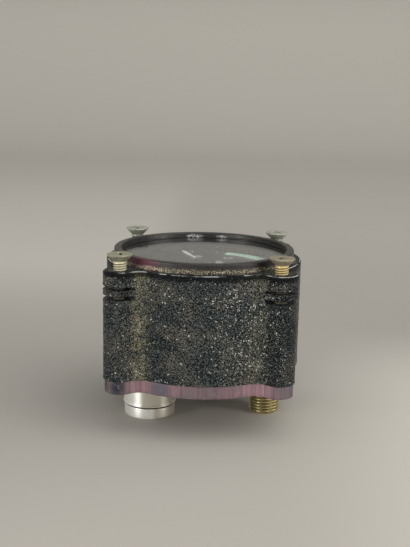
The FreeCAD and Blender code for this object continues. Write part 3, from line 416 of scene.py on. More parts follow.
ground = coat.mix(dust, (0.0028, 0.0038, 0.0048), (0.024, 0.022, 0.013))
# Pale specks: partly worn paint, partly painted glints; more glints are painted in a patch at the front right
worn_specks_and_glints = coat.node("ShaderNodeSeparateColor", {0: coat.cells(2.2)["Color"]}).outputs[0]
glint_patch = coat.near((15.5, -26, -14), 16, (1, 1, 0.6))
worn_specks_and_glints = coat.math("ADD", worn_specks_and_glints, coat.times(glint_patch, 0.10))
worn_specks_and_glints = coat.times(coat.ramp(worn_specks_and_glints, 0.95, 0.985), coat.ramp(tops, 0.35, 0.7))
paint = coat.mix(worn_specks_and_glints, coat.mix(tops, ground, pale), (0.55, 0.56, 0.51))
# Painted highlight: a pale band, broken up by noise, along the rounded top edge of the wall
rim_highlight = coat.times(coat.ramp(upward, -0.26, -0.13), coat.fade(upward, -0.07, -0.03))
rim_highlight = coat.times(rim_highlight, coat.ramp(coat.noise(0.13, 4, 0.65), 0.44, 0.56))
coat.use("Base Color", coat.mix(rim_highlight, paint, (0.50, 0.52, 0.49)))
coat.use("Roughness", coat.ramp(coat.noise(1.7, 2), 0.3, 0.7, 0.24, 0.46))
wrinkles = coat.cells(1.35, "DISTANCE_TO_EDGE")["Distance"]
coat.bump(coat.ramp(wrinkles, 0, 0.25), 0.16, 0.9)
coat.bump(coat.noise(3.2, 2, 0.7), 0.08, 1)
build("case_casting", case_patches, coat, "gauge_body", 40, ["case"], wall_values)

# Rear plate: milled from flat bar to the case's outline and anodised black, now faded to a purple
# pink with blue-grey blots. Its edge keeps the upright marks of the cutter. Four slotted
# countersunk screws hold it to the lugs, and its spigot carries the round seal.
plate_foot, plate_inset, plate_break, plate_top_break = -37.4, 0.5, 0.3, 0.12
spigot_radius, spigot_top, spigot_middle = 27.9, -31.4, 5.0
groove_radius, groove_foot, groove_top = 26.8, -33.05, -31.75
sink_radius, sink_level, sink_depth = 2.95, -37.25, -35.85
plate_rows = rounded_rows(-case_depth, plate_foot, plate_top_break, plate_break, 0.6)
plate_patches = [lofted([outline(plate_inset + inset) for inset in plate_rows[:, 1]], plate_rows[:, 0])]
spigot = [(spigot_radius, -case_depth), (spigot_radius, groove_foot), (groove_radius, groove_foot)]
spigot += [(groove_radius, groove_top), (spigot_radius, groove_top), (spigot_radius, spigot_top)]
spigot += [(spigot_middle, spigot_top), (0.0, spigot_top)]
plate_patches.append(turned_patch(spigot, bore_columns))
plate_top = [outline(plate_inset + plate_top_break + rim_width), polar(spigot_radius, round_turns)]
plate_under = [outline(plate_inset + plate_break + rim_width)]
for corner, cover in zip(lug_angles, cover_bores):
    centre = polar(lug_distance, corner)
    sink = [(cover_bore_radius, -case_depth), (cover_bore_radius, sink_depth)]
    sink += [(sink_radius, sink_level), (sink_radius, plate_foot)]
    plate_patches.append(turned_patch(sink, len(ten_degrees), centre))
    plate_top.append(cover)
    plate_under.append(polar(sink_radius, ten_degrees, centre))
plate_patches += [flat_patch(plate_top, -case_depth), flat_patch(plate_under, plate_foot)]

anodise = Finish("plate_faded_anodise", (0.26, 0.18, 0.20), 0.42, 0.45)
cutter = anodise.noise(1.1, 3, 0.75, (1, 1, 0.03))
blots = anodise.ramp(anodise.noise(0.06, 2, 0.5, (1, 1, 0.4)), 0.5, 0.62)
fading = anodise.ramp(anodise.noise(0.11, 2), 0.4, 0.6)
pinks = anodise.mix(fading, (0.195, 0.150, 0.165), (0.275, 0.165, 0.19))
plate_middle = -35.0
for x, y, reach, tone in (
    (17.5, -28, 6, (0.40, 0.235, 0.265)),
    (-18.3, -27, 4.5, (0.33, 0.20, 0.225)),
    (-11.5, -28.5, 4.5, (0.125, 0.115, 0.145)),
):
    pinks = anodise.mix(anodise.near((x, y, plate_middle), reach), pinks, tone)
faded = anodise.mix(anodise.ramp(cutter, 0.26, 0.58), (0.145, 0.105, 0.115), pinks)
faded = anodise.mix(anodise.times(blots, 0.5), faded, (0.10, 0.095, 0.12))
# Darker patches at the left end, at the front-left lug and at the right end of the plate's edge
for x, y, reach, tone in (
    (-24.3, -30.4, 5, (0.020, 0.028, 0.042)),
    (-30, -26, 4.5, (0.050, 0.050, 0.052)),
    (29, -22, 7.5, (0.085, 0.078, 0.09)),
):
    faded = anodise.mix(anodise.near((x, y, plate_middle), reach), faded, tone)
faded = anodise.mix(anodise.ramp(anodise.noise(0.5, 4, 0.7), 0.54, 0.80), faded, (0.34, 0.27, 0.28))
anodise.use("Base Color", faded)
anodise.use("Roughness", anodise.ramp(cutter, 0.3, 0.7, 0.34, 0.55))
anodise.bump(cutter, 0.012, 0.6)
build("rear_cover_plate", plate_patches, anodise, "gauge_body", 32, ["rear_plate"])


def metal(name, color, roughness=0.32, grain=2.5, axes=(1, 1, 1), darkening=0.25, **sockets):
    """Bare metal: bright and dull patches, fine tool marks along the stretched axes, small stains."""
    made = Finish(name, color, roughness, 1.0, **sockets)
    marks = made.noise(grain, 3.0, 0.6, axes)
    dark = tuple(channel * (1 - darkening) for channel in color)
    made.use("Base Color", made.mix(made.ramp(made.noise(0.35, 3.0), 0.35, 0.7), color, dark))
    made.use("Roughness", made.ramp(marks, 0.3, 0.7, roughness * 0.75, roughness * 1.35))
    made.bump(marks, 0.012)
    return made


def dress(finish, *names):
    """Gives carried CAD nodes their material, in every slot of their meshes."""
    for name in names:
        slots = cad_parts[name].data.materials
        if len(slots) == 0:
            slots.append(finish.material)
        for index in range(len(slots)):
            slots[index] = finish.material


dress(metal("cover_screw_passivated", (0.42, 0.40, 0.33), 0.38, 3.0, (1, 0.2, 1)), "rear_plate_screws")
seal = Finish("seal_black_rubber", (0.022, 0.022, 0.023), 0.62)
seal.dull(0.5, 0.75, 1.5)
seal.bump(seal.noise(3.0, 4.0), 0.02, 0.6)
dress(seal, "rear_plate_seal", "glass_gasket", "receptacle_gasket", "dust_cap_seal")

# Pressure port: a brass union turned from hexagon bar, with a coned seat at its mouth. Its shank
# clamps the rear plate to the socket block of the tube over an aluminium washer. The thread on
# its end is rubbed bright on its crests, and its roots are darker from tarnish and painted shade.
port_at, port_radius, port_bore = (20.6, 3.0), 5.0, 2.0
port_pitch, port_thread_depth = 1.0, 0.55
port_end, cone_level, port_thread_top, port_top = -52.0, -50.8, -42.6, -25.6
chamfer_radius, chamfer_level = 4.55, -51.55
hexagon_foot, hexagon_top, flat_half = -41.6, -38.0, 6.5
thread_columns = 96
thread_turns = np.arange(thread_columns) * 360 / thread_columns


def thread_wave(level, pitch, low, high):
    """Thread profile from 0 at the crest to 1 in the root: a triangle wave of level less turn,
    with its tips cut off, that fades out over half a pitch at both ends."""
    phase = (level / pitch - thread_turns / 360.0) % 1.0
    wave = np.clip(np.abs(2 * phase - 1) * 1.5 - 0.25, 0, 1)
    return wave * np.clip((level - low) / (0.5 * pitch), 0, 1) * np.clip((high - level) / (0.5 * pitch), 0, 1)


mouth_rows = [(port_bore, port_top), (port_bore, cone_level), (3.2, port_end), (4.0, port_end)]
mouth_rows += [(4.1, port_end), (chamfer_radius, chamfer_level)]
nose_levels = np.arange(-51.5, -42.61, 0.1)
nose_limit = np.minimum(port_radius, chamfer_radius + (nose_levels - chamfer_level))
port_wave = thread_wave(nose_levels[:, None], port_pitch, port_end, port_thread_top)
nose = np.minimum(nose_limit[:, None], port_radius - port_thread_depth * port_wave)
relief = [(port_radius, port_thread_top), (4.4, -42.58), (4.4, -41.62), (4.5, hexagon_foot)]
hexagon = flat_half / np.cos(np.radians((thread_turns + 30) % 60 - 30))
corner_radius = flat_half / np.cos(np.pi / 6)
hexagon_rows = [(flat_half, hexagon_foot), (flat_half + 0.3, -41.3)]
hexagon_rows += [(corner_radius, -40.6), (corner_radius, hexagon_top)]
port_rows = [*mouth_rows, *zip(nose, nose_levels), *relief]
port_rows += [(np.minimum(hexagon, radius), level) for radius, level in hexagon_rows]
port_rows += [(4.0, hexagon_top), (3.98, -37.98), (3.98, port_top), (port_bore, port_top)]
port_patch = turned_patch(port_rows, thread_columns, port_at)
port_values = {"root": np.pad(port_wave.ravel(), (len(mouth_rows) * thread_columns, 0))}
brass = metal("port_tarnished_brass", (0.50, 0.42, 0.20), 0.36, 2.2, (1, 1, 3), 0.35)
# Thread roots are darker: partly tarnish, partly painted shade
tarnish_and_root_shade = brass.mix(brass.attribute("root"), (0.74, 0.66, 0.37), (0.26, 0.22, 0.11))
brown_spots = brass.times(brass.ramp(brass.noise(0.9, 4.0, 0.7), 0.5, 0.68), 0.5)
brass.use("Base Color", brass.mix(brown_spots, tarnish_and_root_shade, (0.27, 0.22, 0.11)))
build("port_union", [port_patch], brass, "gauge_body", 35, ["pressure_port"], port_values)
dress(metal("washer_plain_aluminium", (0.62, 0.62, 0.61), 0.4), "port_washer")

# Electrical receptacle: an aluminium shell turned on a lathe, with a round flange that bears on
# the rear plate over a gasket. A locknut inside the case holds it, and a screwed aluminium dust
# cap covers its contacts. Fine turning marks run round both.
shell_at, fitting_columns = (-16.791, -1.913), 128


def rounded(corners, steps=5, closed=False):
    """Outline of (radius, level, rounding) corners, each rounding drawn as an arc that touches
    both sides: its centre lies on the corner's bisector. Closed, it ends at its first point."""
    place = np.array([corner[:2] for corner in corners], float)
    result = []
    for here, before, after, corner in zip(place, np.roll(place, 1, 0), np.roll(place, -1, 0), corners):
        size = corner[2]
        if size == 0:
            result.append(here)
            continue
        one, two = before - here, after - here
        one, two = one / np.linalg.norm(one), two / np.linalg.norm(two)
        half = np.arccos(np.clip(one @ two, -1, 1)) / 2
        middle = here + (one + two) / np.linalg.norm(one + two) * size / np.sin(half)
        start = here + one * size / np.tan(half) - middle
        finish = here + two * size / np.tan(half) - middle
        arc = np.pi - 2 * half
        for part in np.linspace(0, 1, steps + 1):
            along = start * np.sin((1 - part) * arc) + finish * np.sin(part * arc)
            result.append(middle + along / np.sin(arc))
    return np.array(result + result[:1] if closed else result)


shell_profile = rounded(
    [(6.08, -50.6, 0), (7.2, -50.6, 0.25), (7.2, -47.9, 0), (8.5, -47.9, 0.15), (8.5, -47.45, 0.3)]
    + [(8.25, -47.0, 0.4), (8.3, -37.9, 0.2), (7.0, -37.9, 0), (7.0, -27.4, 0.15), (6.08, -27.4, 0)],
    closed=True,
)
cap_profile = rounded(
    [(0.0, -52.0, 0), (8.15, -52.0, 0.75), (8.15, -48.3, 0.3), (7.28, -48.3, 0), (7.28, -51.0, 0)]
    + [(0.0, -51.0, 0)]
)
turned = metal(
    "receptacle_turned_aluminium", (0.95, 0.95, 0.90), 0.40, 1.6, (0.15, 0.15, 9.0), 0.1,
    Metallic=0.68, Anisotropic=0.70, Anisotropic_Rotation=0.25,
)
from_left, _, depth = turned.split()
worn = turned.ramp(turned.noise(0.5, 4.0, 0.6), 0.56, 0.85)
silver = turned.mix(worn, (0.99, 0.985, 0.91), (0.80, 0.77, 0.64))
# Painted reflection: the right of the shell and cap is painted a darker tan, as darker surroundings would
# reflect there; its edge lies further left on the shell than on the cap
reflection_edge = turned.ramp(depth, -48.4, -47.9, -15.0, -19.2)
darkening = turned.ramp(turned.math("SUBTRACT", from_left, reflection_edge), -0.4, 1.2)
silver = turned.mix(turned.times(darkening, 0.8), silver, (0.60, 0.56, 0.44))
# Painted shade in the gap between the cap and the shell's flange, spread over their edges
gap_shade = turned.times(turned.ramp(depth, -48.42, -48.30), turned.fade(depth, -47.92, -47.80))
turned.use("Base Color", turned.mix(gap_shade, silver, (0.03, 0.028, 0.018)))
shell_patch = turned_patch(shell_profile, fitting_columns, shell_at)
cap_patch = turned_patch(cap_profile, fitting_columns, shell_at)
build("receptacle_barrel", [shell_patch], turned, "gauge_body", 32, ["receptacle_shell"])
build("receptacle_cap", [cap_patch], turned, "cap", 32, ["dust_cap"])
dress(turned, "receptacle_locknut")
moulding = Finish("insulator_brown_phenolic", (0.055, 0.03, 0.018), 0.4)
moulding.dull(0.3, 0.5, 1.2)
moulding.bump(moulding.noise(2.5))
dress(moulding, "receptacle_insulator")
dress(metal("contact_gold_plate", (0.86, 0.62, 0.27), 0.22), "receptacle_contacts")

# Movement: brass plates on pillars carry a toothed sector and the pointer's pinion in bronze
# bushes. The sector is drawn round by a steel link from the tip of the bronze Bourdon tube, which
# is brazed into the brass socket block. The hairspring takes up the play in the teeth.
movement = metal("movement_brushed_brass", (0.72, 0.53, 0.22), 0.3, 3.0, (0.12, 1, 1))
dress(movement, "movement_lower_plate", "movement_upper_plate", "movement_pillars", "sector_gear")
dress(movement, "dial_posts", "hairspring_collet", "hairspring_stud", "lamp_sleeves")
dress(metal("socket_milled_brass", (0.66, 0.49, 0.22), 0.36, 2.0, (1, 0.1, 1)), "tube_socket", "tube_tip")

# The tube is a flat oval carried clockwise round a circle. Its last sixth, up to the tip, is
# built as a separate piece that stays in place.
tube_radius, tube_level, tube_half_width, tube_half_height = 21.0, -19.5, 1.2, 3.5
tube_start, tube_flex, tube_end, tip_mouth = 1.0, -208.0, -269.0, 96.0
oval_columns = 32


def oval_run(first, last, rows):
    """Superellipse section, x to the power 2.5 plus z to the power 2.2, carried along an arc."""
    round_oval = np.linspace(0, 2 * np.pi, oval_columns, endpoint=False)
    cosine, sine = np.cos(round_oval), np.sin(round_oval)
    out = tube_half_width * np.sign(cosine) * np.abs(cosine) ** (2 / 2.5)
    up = tube_half_height * np.sign(sine) * np.abs(sine) ** (2 / 2.2)
    along = np.linspace(first, last, rows)
    run = np.array([np.column_stack([polar(tube_radius + out, angle), tube_level + up]) for angle in along])
    ends = [(end, [list(range(oval_columns))]) for end in (run[0], run[-1])]
    return [(run, grid_faces(rows, oval_columns)), *ends]


bronze = metal("bourdon_drawn_bronze", (0.62, 0.40, 0.21), 0.28, 2.0, (1, 1, 0.1))
coil = oval_run(tube_start, tube_flex, 71)
build("tube_coil", coil, bronze, "gauge_body", 40, ["bourdon_tube"])
flex_start = (*polar(tube_radius, tube_flex) * 0.001, tube_level * 0.001)
flex_end = (*polar(tube_radius, tip_mouth) * 0.001, tube_level * 0.001)
free_end = oval_run(tube_flex, tube_end, 25)
build("tube_free_end", free_end, bronze, ("gauge_body", "tube_end", flex_start, flex_end), 40)
dress(metal("hairspring_rolled_bronze", (0.70, 0.47, 0.24), 0.25, 5.0), "hairspring")
dress(metal("bush_turned_bronze", (0.60, 0.40, 0.20), 0.3, 3.0, (1, 1, 4)), "pivot_bushes")
dress(metal("arbor_polished_steel", (0.56, 0.56, 0.57), 0.2, 4.0), "pinion_arbor", "sector_arbor", "link")
dress(metal("pin_hardened_steel", (0.46, 0.46, 0.48), 0.24, 4.0), "link_pin", "pointer_stop_pin")
small_screw = metal("small_screw_turned_steel", (0.58, 0.58, 0.58), 0.26, 4.0, (1, 1, 3))
dress(small_screw, "pillar_screws", "movement_screws")
blued = metal("dial_screw_blued_steel", (0.06, 0.06, 0.065), 0.35, 4.0, (1, 1, 3))
dress(blued, "dial_screws", "pointer_hub")
sleeving = Finish("wire_white_sleeving", (0.62, 0.60, 0.54), 0.5)
sleeving.dull(0.4, 0.6, 2.0)
sleeving.bump(sleeving.noise(4.0))
dress(sleeving, "lamp_wires")
bulb = Finish("lamp_clear_bulb", (0.95, 0.93, 0.85), 0.04, Transmission_Weight=1.0, IOR=1.5)
bulb.use("Roughness", bulb.ramp(bulb.noise(1.0), 0.3, 0.8, 0.02, 0.15))
dress(bulb, "lamps")

# Dial: an aluminium disc painted matt black, with white marks and figures and a green arc for
# the working range. They are screen printed, so they stand only two hundredths above it.
dial_top, zero_angle, sweep, divisions = -4.6, 102.0, 210.0, 10
ink_foot, ink_top = dial_top - 0.01, dial_top + 0.02
tick_outer, long_tick, short_tick, small_steps = 24.4, (22.3, 0.55), (23.4, 0.25), 5
black = Finish("dial_matt_black", (0.012, 0.0125, 0.013), 0.6)
black.dull(0.5, 0.72, 1.1)
black.bump(black.noise(2.0, 2.0), 0.002, 0.4)
dress(black, "dial")


def printed(name, sectors, finish):
    """Bands round the dial, each from an inner to an outer radius between two angles: a loop of
    four corners (inner low, outer low, outer high, inner high) carried along the arc, ends closed."""
    patches = []
    for inner, outer, start, end in sectors:
        steps = max(2, int(abs(end - start) / 1.5) + 1)
        along = np.linspace(start, end, steps)
        corners = [(inner, ink_foot), (outer, ink_foot), (outer, ink_top), (inner, ink_top)]
        grid = np.array([[(*polar(r, angle), z) for r, z in corners] for angle in along])
        caps = [[0, 1, 2, 3], [4 * steps - 4, 4 * steps - 3, 4 * steps - 2, 4 * steps - 1]]
        patches.append((grid, np.concatenate([grid_faces(steps, 4), caps])))
    build(name, patches, finish, "gauge_body", 30)


ink = Finish("dial_white_ink", (0.62, 0.62, 0.58), 0.55)
thin_ink = ink.ramp(ink.noise(1.6, 4.0, 0.7), 0.35, 0.7)
ink.use("Base Color", ink.mix(thin_ink, (0.96, 0.96, 0.92), (0.74, 0.74, 0.70)))
green = Finish("dial_green_ink", (0.36, 0.86, 0.56), 0.55)
green.use("Base Color", green.mix(green.noise(0.8, 4.0, 0.6), (0.60, 0.95, 0.70), (0.76, 1.0, 0.84)))
ticks = []
for step in range(divisions * small_steps + 1):
    angle = zero_angle - sweep * step / (divisions * small_steps)
    inner, half_width = long_tick if step % small_steps == 0 else short_tick
    ticks.append((inner, tick_outer, angle - half_width, angle + half_width))
printed("dial_ticks", ticks, ink)
printed("dial_green_range", [(19.8, 23.8, 33.0, 72.5)], green)

# Figures stand upright for twelve o'clock along +X: their own up is +X and their right is -Y
figure_size, figure_radius = 4.4, 14.8
figure_places = [
    (str(number), figure_size, polar(figure_radius, zero_angle - sweep * number / divisions))
    for number in range(0, divisions + 1, 2)
]
figure_places.append(("x10", 3.4, (4.8, 5.3)))
points, faces, total = [], [], 0
for words, size, centre in figure_places:
    text = bpy.data.curves.new("figure", "FONT")
    text.body, text.size, text.offset, text.extrude = words, size, 0.1, 0.01
    text.align_x = text.align_y = "CENTER"
    text.resolution_u = 3
    drawn = added("figure", text)
    bpy.context.view_layer.update()
    figure = bpy.data.meshes.new_from_object(drawn.evaluated_get(bpy.context.evaluated_depsgraph_get()))
    bpy.data.objects.remove(drawn)
    right, up, high = np.array([vertex.co for vertex in figure.vertices]).T
    points.append(np.column_stack([centre[0] + up, centre[1] - right, high + dial_top + 0.01]))
    faces += [tuple(index + total for index in polygon.vertices) for polygon in figure.polygons]
    total += len(figure.vertices)
figures = bpy.data.meshes.new("dial_figures")
figures.from_pydata(np.concatenate(points) * 0.001, [], faces)
figures.materials.append(ink.material)
figures_piece = added("dial_figures", figures)
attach(figures_piece, "gauge_body")

# Pointer: stamped from thin aluminium, painted white on its blade and black round the hub and on
# the counterweight, so that only the blade reads against the dial.
white = Finish("pointer_white_and_black", (0.75, 0.75, 0.72), 0.5)
chips = white.math("ADD", white.distance(scale=(1, 1, 0)), white.times(white.noise(1.5, 3.0), 1.5))
white.use("Base Color", white.mix(white.ramp(chips, 8.4, 9.0), (0.014, 0.014, 0.014), (0.98, 0.98, 0.94)))
white.bump(white.noise(3.0))

# The blade widens to a lance near its tip. Its outline joins the arcs of the boss and of the
# counterweight where the two circles meet, and is carried up through the thickness.
pointer_foot, pointer_top, pointer_angle, hub_hole = -4.0, -3.7, 112.0, 1.3
boss, blade_start, counterweight, counterweight_at = 2.8, 11.0, 1.8, -4.4
half_blade = np.array([(2.75, 0.5), (9.5, 0.33), (13.0, 0.42), (14.6, 0.72), (19.3, 0.66), (22.0, 0.0)])
meet = -(boss**2 - counterweight**2 + counterweight_at**2) / (2 * abs(counterweight_at))
boss_end = np.degrees(np.arccos(meet / boss))
weight_end = np.degrees(np.arccos((meet - counterweight_at) / counterweight))
weight_turns = np.linspace(-weight_end, weight_end - 360, 32)[1:-1]
blade = [
    half_blade[::-1] * (1, -1),
    polar(boss, np.linspace(-blade_start, -boss_end, 24)),
    polar(counterweight, weight_turns, (counterweight_at, 0.0)),
    polar(boss, np.linspace(boss_end, blade_start, 24)),
    half_blade[:-1],
]
cosine, sine = np.cos(np.radians(pointer_angle)), np.sin(np.radians(pointer_angle))
blade = np.concatenate(blade) @ np.array([(cosine, sine), (-sine, cosine)])
hole = polar(hub_hole, ten_degrees)
pointer_patches = [flat_patch([blade, hole], level) for level in (pointer_foot, pointer_top)]
pointer_patches += [lofted([loop] * 2, (pointer_foot, pointer_top)) for loop in (blade, hole)]
build("pointer_blade", pointer_patches, white, "pointer_assembly", 30, ["pointer"])

# Glass: a flat disc with ground edges, pressed by the bezel on a rubber gasket and a black seat
# ring. A shadow ray goes straight through, so that the dial below is lit.
glass_foot, glass_top, glass_radius, ground_radius, ground_edge = -0.6, 1.4, 27.0, 26.6, 0.3
glass = Finish("glass_clear_flat", (0.97, 0.985, 0.98), 0.0, Transmission_Weight=1.0, IOR=1.47)
glass.use("Roughness", glass.ramp(glass.noise(0.3, 4.0, 0.7), 0.45, 0.8, 0.0, 0.015))
clear = glass.node("ShaderNodeBsdfTransparent", {"Color": (0.98, 0.985, 0.98, 1.0)})
shadow = glass.node("ShaderNodeLightPath").outputs["Is Shadow Ray"]
through = glass.node("ShaderNodeMixShader", {0: shadow, 1: glass.shader.outputs[0], 2: clear.outputs[0]})
glass.tree.links.new(through.outputs[0], glass.tree.nodes["Material Output"].inputs[0])
glass_profile = rounded(
    [(0.0, glass_foot, 0), (ground_radius, glass_foot, 0), (glass_radius, glass_foot, ground_edge)]
    + [(glass_radius, glass_top, ground_edge), (ground_radius, glass_top, 0), (0.0, glass_top, 0)]
)
glass_patch = turned_patch(glass_profile, bore_columns)
build("dial_glass", [glass_patch], glass, "gauge_body", 32, ["glass"])
seat = Finish("seat_ring_matt_anodise", (0.03, 0.03, 0.032), 0.5, 0.4)
seat.dull(0.42, 0.6, 2.0)
seat.bump(seat.noise(2.0, 2.0, 0.5, (0.2, 0.2, 6)))
dress(seat, "glass_seat_ring")

# Bezel: a turned aluminium ring with a fine thread on its skirt, anodised a dark purple brown.
# The lower half of its band is worn by the panel's edge to bright specks of bare metal.
bezel_columns = 360
bezel_profile = rounded(
    [(28.10, -2.5, 0.15), (28.10, 0.0, 0), (28.45, 0.0, 0.08), (28.45, 3.05, 0.4), (26.1, 3.05, 0.3)]
    + [(26.1, 1.4, 0.1), (27.05, 1.4, 0), (27.05, -2.5, 0.15)],
    6, closed=True,
)
band = Finish("bezel_worn_anodise", (0.05, 0.042, 0.038), 0.34, 0.5)
# A purple-pink patch at the front left; painted shade on the front right, where the band faces away from the
# light
tint_and_shade = band.mix(band.near((-17.5, -22.5, 0.8), 8), (0.036, 0.033, 0.031), (0.115, 0.042, 0.06))
tint_and_shade = band.mix(band.near((20.5, -19.5, 1.5), 9), tint_and_shade, (0.014, 0.014, 0.014))
ragged = band.math("ADD", band.split()[2], band.times(band.noise(0.4, 3), 1.2))
rubbed = band.times(band.fade(ragged, 1.25, 2.3), band.ramp(band.distance(scale=(1, 1, 0)), 27.6, 28.2))
specks = band.ramp(band.noise(3.2, 2, 0.8), 0.50, 0.60)
bare = band.mix(band.noise(1.1), (0.62, 0.54, 0.36), (0.95, 0.84, 0.62))
# Painted reflections: two pale sparkly streaks on the back of the inner lip stand for the dial's white marks
# reflected there
reflection_left = band.distance((-7, 25.9, 1.95), (0.16, 1.2, 1.2))
reflection_right = band.distance((8.3, 25.9, 1.95), (0.18, 1.2, 1.2))
mark_reflections = band.fade(band.math("MINIMUM", reflection_left, reflection_right), 0.5, 1.1)
mark_reflections = band.times(mark_reflections, band.ramp(band.noise(2, 2, 0.8), 0.42, 0.56))
wear_and_shade_band = band.mix(band.times(rubbed, specks), tint_and_shade, bare)
band.use("Base Color", band.mix(mark_reflections, wear_and_shade_band, (0.75, 0.75, 0.73)))
band.dull(0.26, 0.42, 1.5)
band.bump(band.noise(2, 2, 0.6, (0.15, 0.15, 5)), 0.012)
band.bump(specks, 0.02)
bezel_patch = turned_patch(bezel_profile, bezel_columns)
build("bezel_band", [bezel_patch], band, "gauge_body", 32, ["bezel_ring"])

# Panel screws: countersunk steel screws with a cross recess, olive passivated. They stand partly
# out of the lugs, gripped by the kerfed leaves, and the panel goes between their heads and the case.
screw_radius, screw_length, shank_top = 2.0, 14.0, -2.3
screw_pitch, screw_thread_depth = 0.7, 0.38
thread_foot, thread_top, recess_depth = 0.5 - screw_length, -2.4, -1.65
thread_levels = np.arange(thread_foot, thread_top - 0.05, 0.07)
screw_wave = thread_wave(thread_levels[:, None], screw_pitch, thread_foot, thread_top)


def cross(half_length, half_width, turn):
    """Radius of a cross in each direction: the longer reach of its two straight arms."""
    from_arm = np.radians(thread_turns - turn)
    cosine, sine = np.abs(np.cos(from_arm)) + 1e-9, np.abs(np.sin(from_arm)) + 1e-9
    along = np.minimum(half_length / cosine, half_width / sine)
    return np.maximum(along, np.minimum(half_length / sine, half_width / cosine))


# Levels are measured down from the head's flat top; the recess has a half length and a half width
tip = [(0.0, -screw_length), (1.5, -screw_length)]
head = [(screw_radius, shank_top), (screw_radius, -2.2), (3.72, -0.48), (3.8, -0.36), (3.8, -0.1)]
head += [(3.7, 0.0), (3.5, 0.0)]
recess = [(2.2, 0.45, 0.0), (2.05, 0.44, -0.15), (1.5, 0.42, -0.9), (0.95, 0.4, -1.55)]
recess += [(0.5, 0.3, recess_depth), (0.0, 0.0, recess_depth)]
thread = screw_radius - screw_thread_depth * screw_wave
screw_values = {"root": np.pad(screw_wave.ravel(), (len(tip) * thread_columns, 0))}
# All four screws have one plating. The rear heads are given a lighter olive as painted light, and the front
# shanks a bright gold that is partly their plating and partly painted highlight.
for place, corner, turn, head_top, olive, shank_tone_and_highlight in (
    ("front_left", 225, 20, 4.75, (0.40, 0.39, 0.28), (0.92, 0.86, 0.60)),
    ("front_right", 315, 65, 4.75, (0.40, 0.35, 0.25), (0.90, 0.72, 0.34)),
    ("rear_right", 45, 40, 4.3, (0.50, 0.52, 0.42), (0.46, 0.46, 0.36)),
    ("rear_left", 135, 5, 4.75, (0.46, 0.48, 0.39), (0.42, 0.43, 0.34)),
):
    centre = polar(lug_distance, corner)
    arms = [(cross(length, width, turn), level) for length, width, level in recess]
    screw_rows = [*tip, *zip(thread, thread_levels), *head, *arms]
    screw_patch = turned_patch(screw_rows, thread_columns, centre, head_top)
    steel = metal("plating_and_light_" + place, olive, 0.42, 2.4, (1, 1, 2), 0.3, Metallic=0.45)
    beside, behind, above = steel.split((*centre, head_top))
    axis_gap = steel.math("ADD", steel.times(beside, beside), steel.times(behind, behind))
    # Painted shade: the cross recess is painted near-black
    recess_shade = steel.times(steel.fade(axis_gap, 3.2, 5.2), steel.fade(above, -0.5, -0.05))
    recess_shade = steel.times(recess_shade, steel.ramp(above, -1.9, -1.7))
    worn_olive = tuple(channel * 0.62 for channel in olive)
    stains_and_shade = steel.mix(steel.ramp(steel.noise(1.1, 4, 0.7), 0.4, 0.65), olive, worn_olive)
    stains_and_shade = steel.mix(steel.fade(above, -2.5, -1.8), stains_and_shade, shank_tone_and_highlight)
    # Painted shade: the thread inside the bore and the kerfs is painted darker
    bore_shade = steel.fade(above, -head_top - 2, -head_top - 0.1)
    stains_and_shade = steel.mix(bore_shade, stains_and_shade, (0.21, 0.19, 0.14))
    # Painted shade in the thread's roots
    stains_and_shade = steel.mix(steel.times(steel.attribute("root"), 0.85), stains_and_shade, (0.10, 0.08, 0.045))
    steel.use("Base Color", steel.mix(recess_shade, stains_and_shade, (0.02, 0.02, 0.018)))
    build(
        "lug_screw_" + place, [screw_patch], steel, "screw_" + place, 35,
        ["panel_screw_" + place], screw_values,
    )

# Studio: a seamless sweep of warm grey paper that runs up behind the gauge. A large soft lamp
# hangs above and in front at the right, a small one stands low at each side, and the room is pale.
floor_level, sweep_front, sweep_back, sweep_radius, sweep_top = -52.0, -2600.0, 900.0, 500.0, 2200.0
paper_half_width, paper_columns = 9000, 9
bend = polar(sweep_radius, np.linspace(-90, 0, 24), (sweep_back, floor_level + sweep_radius))
profile = np.vstack([(sweep_front, floor_level), bend, (sweep_back + sweep_radius, sweep_top)])
width = np.linspace(-paper_half_width, paper_half_width, paper_columns)
sheet = np.array([[(x, y, z) for x in width] for y, z in profile]) * 0.001
paper_mesh = bpy.data.meshes.new("paper_sweep")
# All but the faces that would close the sheet
paper_faces = grid_faces(len(profile), paper_columns).reshape(-1, paper_columns, 4)[:, :-1]
paper_mesh.from_pydata(sheet.reshape(-1, 3), [], paper_faces.reshape(-1, 4).tolist())
paper_mesh.polygons.foreach_set("use_smooth", np.ones(len(paper_mesh.polygons), bool))
paper = Finish("warm_grey_paper", (0.50, 0.47, 0.42), 0.9)
sideways, backward, upward = paper.split()
tone = paper.mix(paper.noise(0.012, 4, 0.6), (0.445, 0.418, 0.372), (0.475, 0.448, 0.402))
# Painted light: the paper is lighter far back and darker high up the sweep
tone = paper.mix(paper.ramp(backward, 200, 1400), tone, (0.56, 0.53, 0.47))
tone = paper.mix(paper.ramp(upward, 110, 260), tone, (0.442, 0.436, 0.392))
# Painted shadow: the paper is darker in a band behind the gauge
skew = paper.math("SUBTRACT", backward, paper.times(sideways, 0.8))
painted_shadow = paper.times(paper.ramp(skew, -75, 40), paper.fade(backward, 110, 420))
tone = paper.mix(painted_shadow, tone, (0.385, 0.366, 0.328))
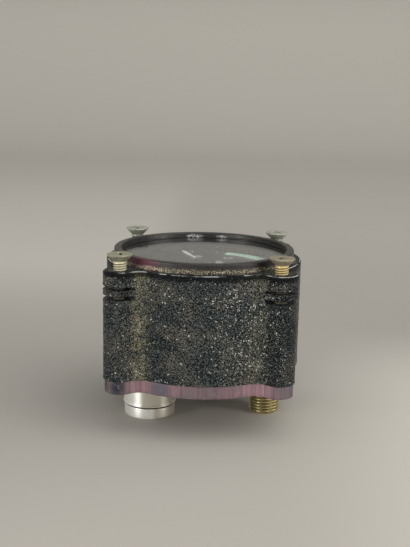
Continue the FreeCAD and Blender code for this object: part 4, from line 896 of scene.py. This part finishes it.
# Painted light: pools of lighter paper at the front right and further back on the left
painted_light_right = paper.times(paper.ramp(sideways, 15, 90), paper.fade(backward, 20, 120))
tone = paper.mix(painted_light_right, tone, (0.59, 0.56, 0.50))
painted_light_left = paper.times(paper.fade(sideways, -60, -20), paper.ramp(backward, 90, 260))
painted_light_left = paper.times(painted_light_left, paper.fade(backward, 420, 900))
paper.use("Base Color", paper.mix(painted_light_left, tone, (0.54, 0.512, 0.458)))
paper_mesh.materials.append(paper.material)
paper_sweep = added("paper_sweep", paper_mesh)

for name, place, size, power, color in (
    ("key_lamp", (0.45, -0.50, 0.95), 1.5, 8.6, (1.0, 0.98, 0.95)),
    ("left_lamp", (-0.75, -0.65, 0.14), 0.4, 3.4, (1.0, 0.99, 0.96)),
    ("right_lamp", (0.85, -0.35, 0.18), 0.4, 2.6, (1.0, 0.99, 0.96)),
):
    lamp = bpy.data.lights.new(name, "AREA")
    lamp.shape, lamp.size, lamp.energy, lamp.color = "DISK", size, power, color
    stand = added(name, lamp)
    aim = Vector((0, 0, -0.02)) - Vector(place)
    stand.matrix_world = Matrix.Translation(place) @ aim.to_track_quat("-Z", "Y").to_matrix().to_4x4()
    stand.visible_camera = False

world = bpy.data.worlds.new("pale_room")
world.use_nodes = True
room_light = world.node_tree.nodes["Background"].inputs
room_light["Color"].default_value = (0.98, 0.98, 1.0, 1.0)
room_light["Strength"].default_value = 0.56
bpy.context.scene.world = world
bpy.context.scene.view_settings.view_transform = "Standard"

# Camera: a phone held low in front of the gauge, about 12 degrees above it and tipped one degree
right = Vector((0.9989958, 0.04063525, 0.01887227))
up = Vector((-0.02696199, 0.20882711, 0.97758084))
back = Vector((0.0357832, -0.97710799, 0.20971301))
lens = bpy.data.cameras.new("camera")
lens.lens, lens.sensor_width, lens.sensor_fit = 62.97, 36.0, "AUTO"
lens.clip_start, lens.clip_end = 0.01, 20.0
camera = added("camera", lens)
held = Matrix((right, up, back)).transposed().to_4x4()
camera.matrix_world = Matrix.Translation((0.01136, -0.298561, 0.058425)) @ held
bpy.context.scene.camera = camera
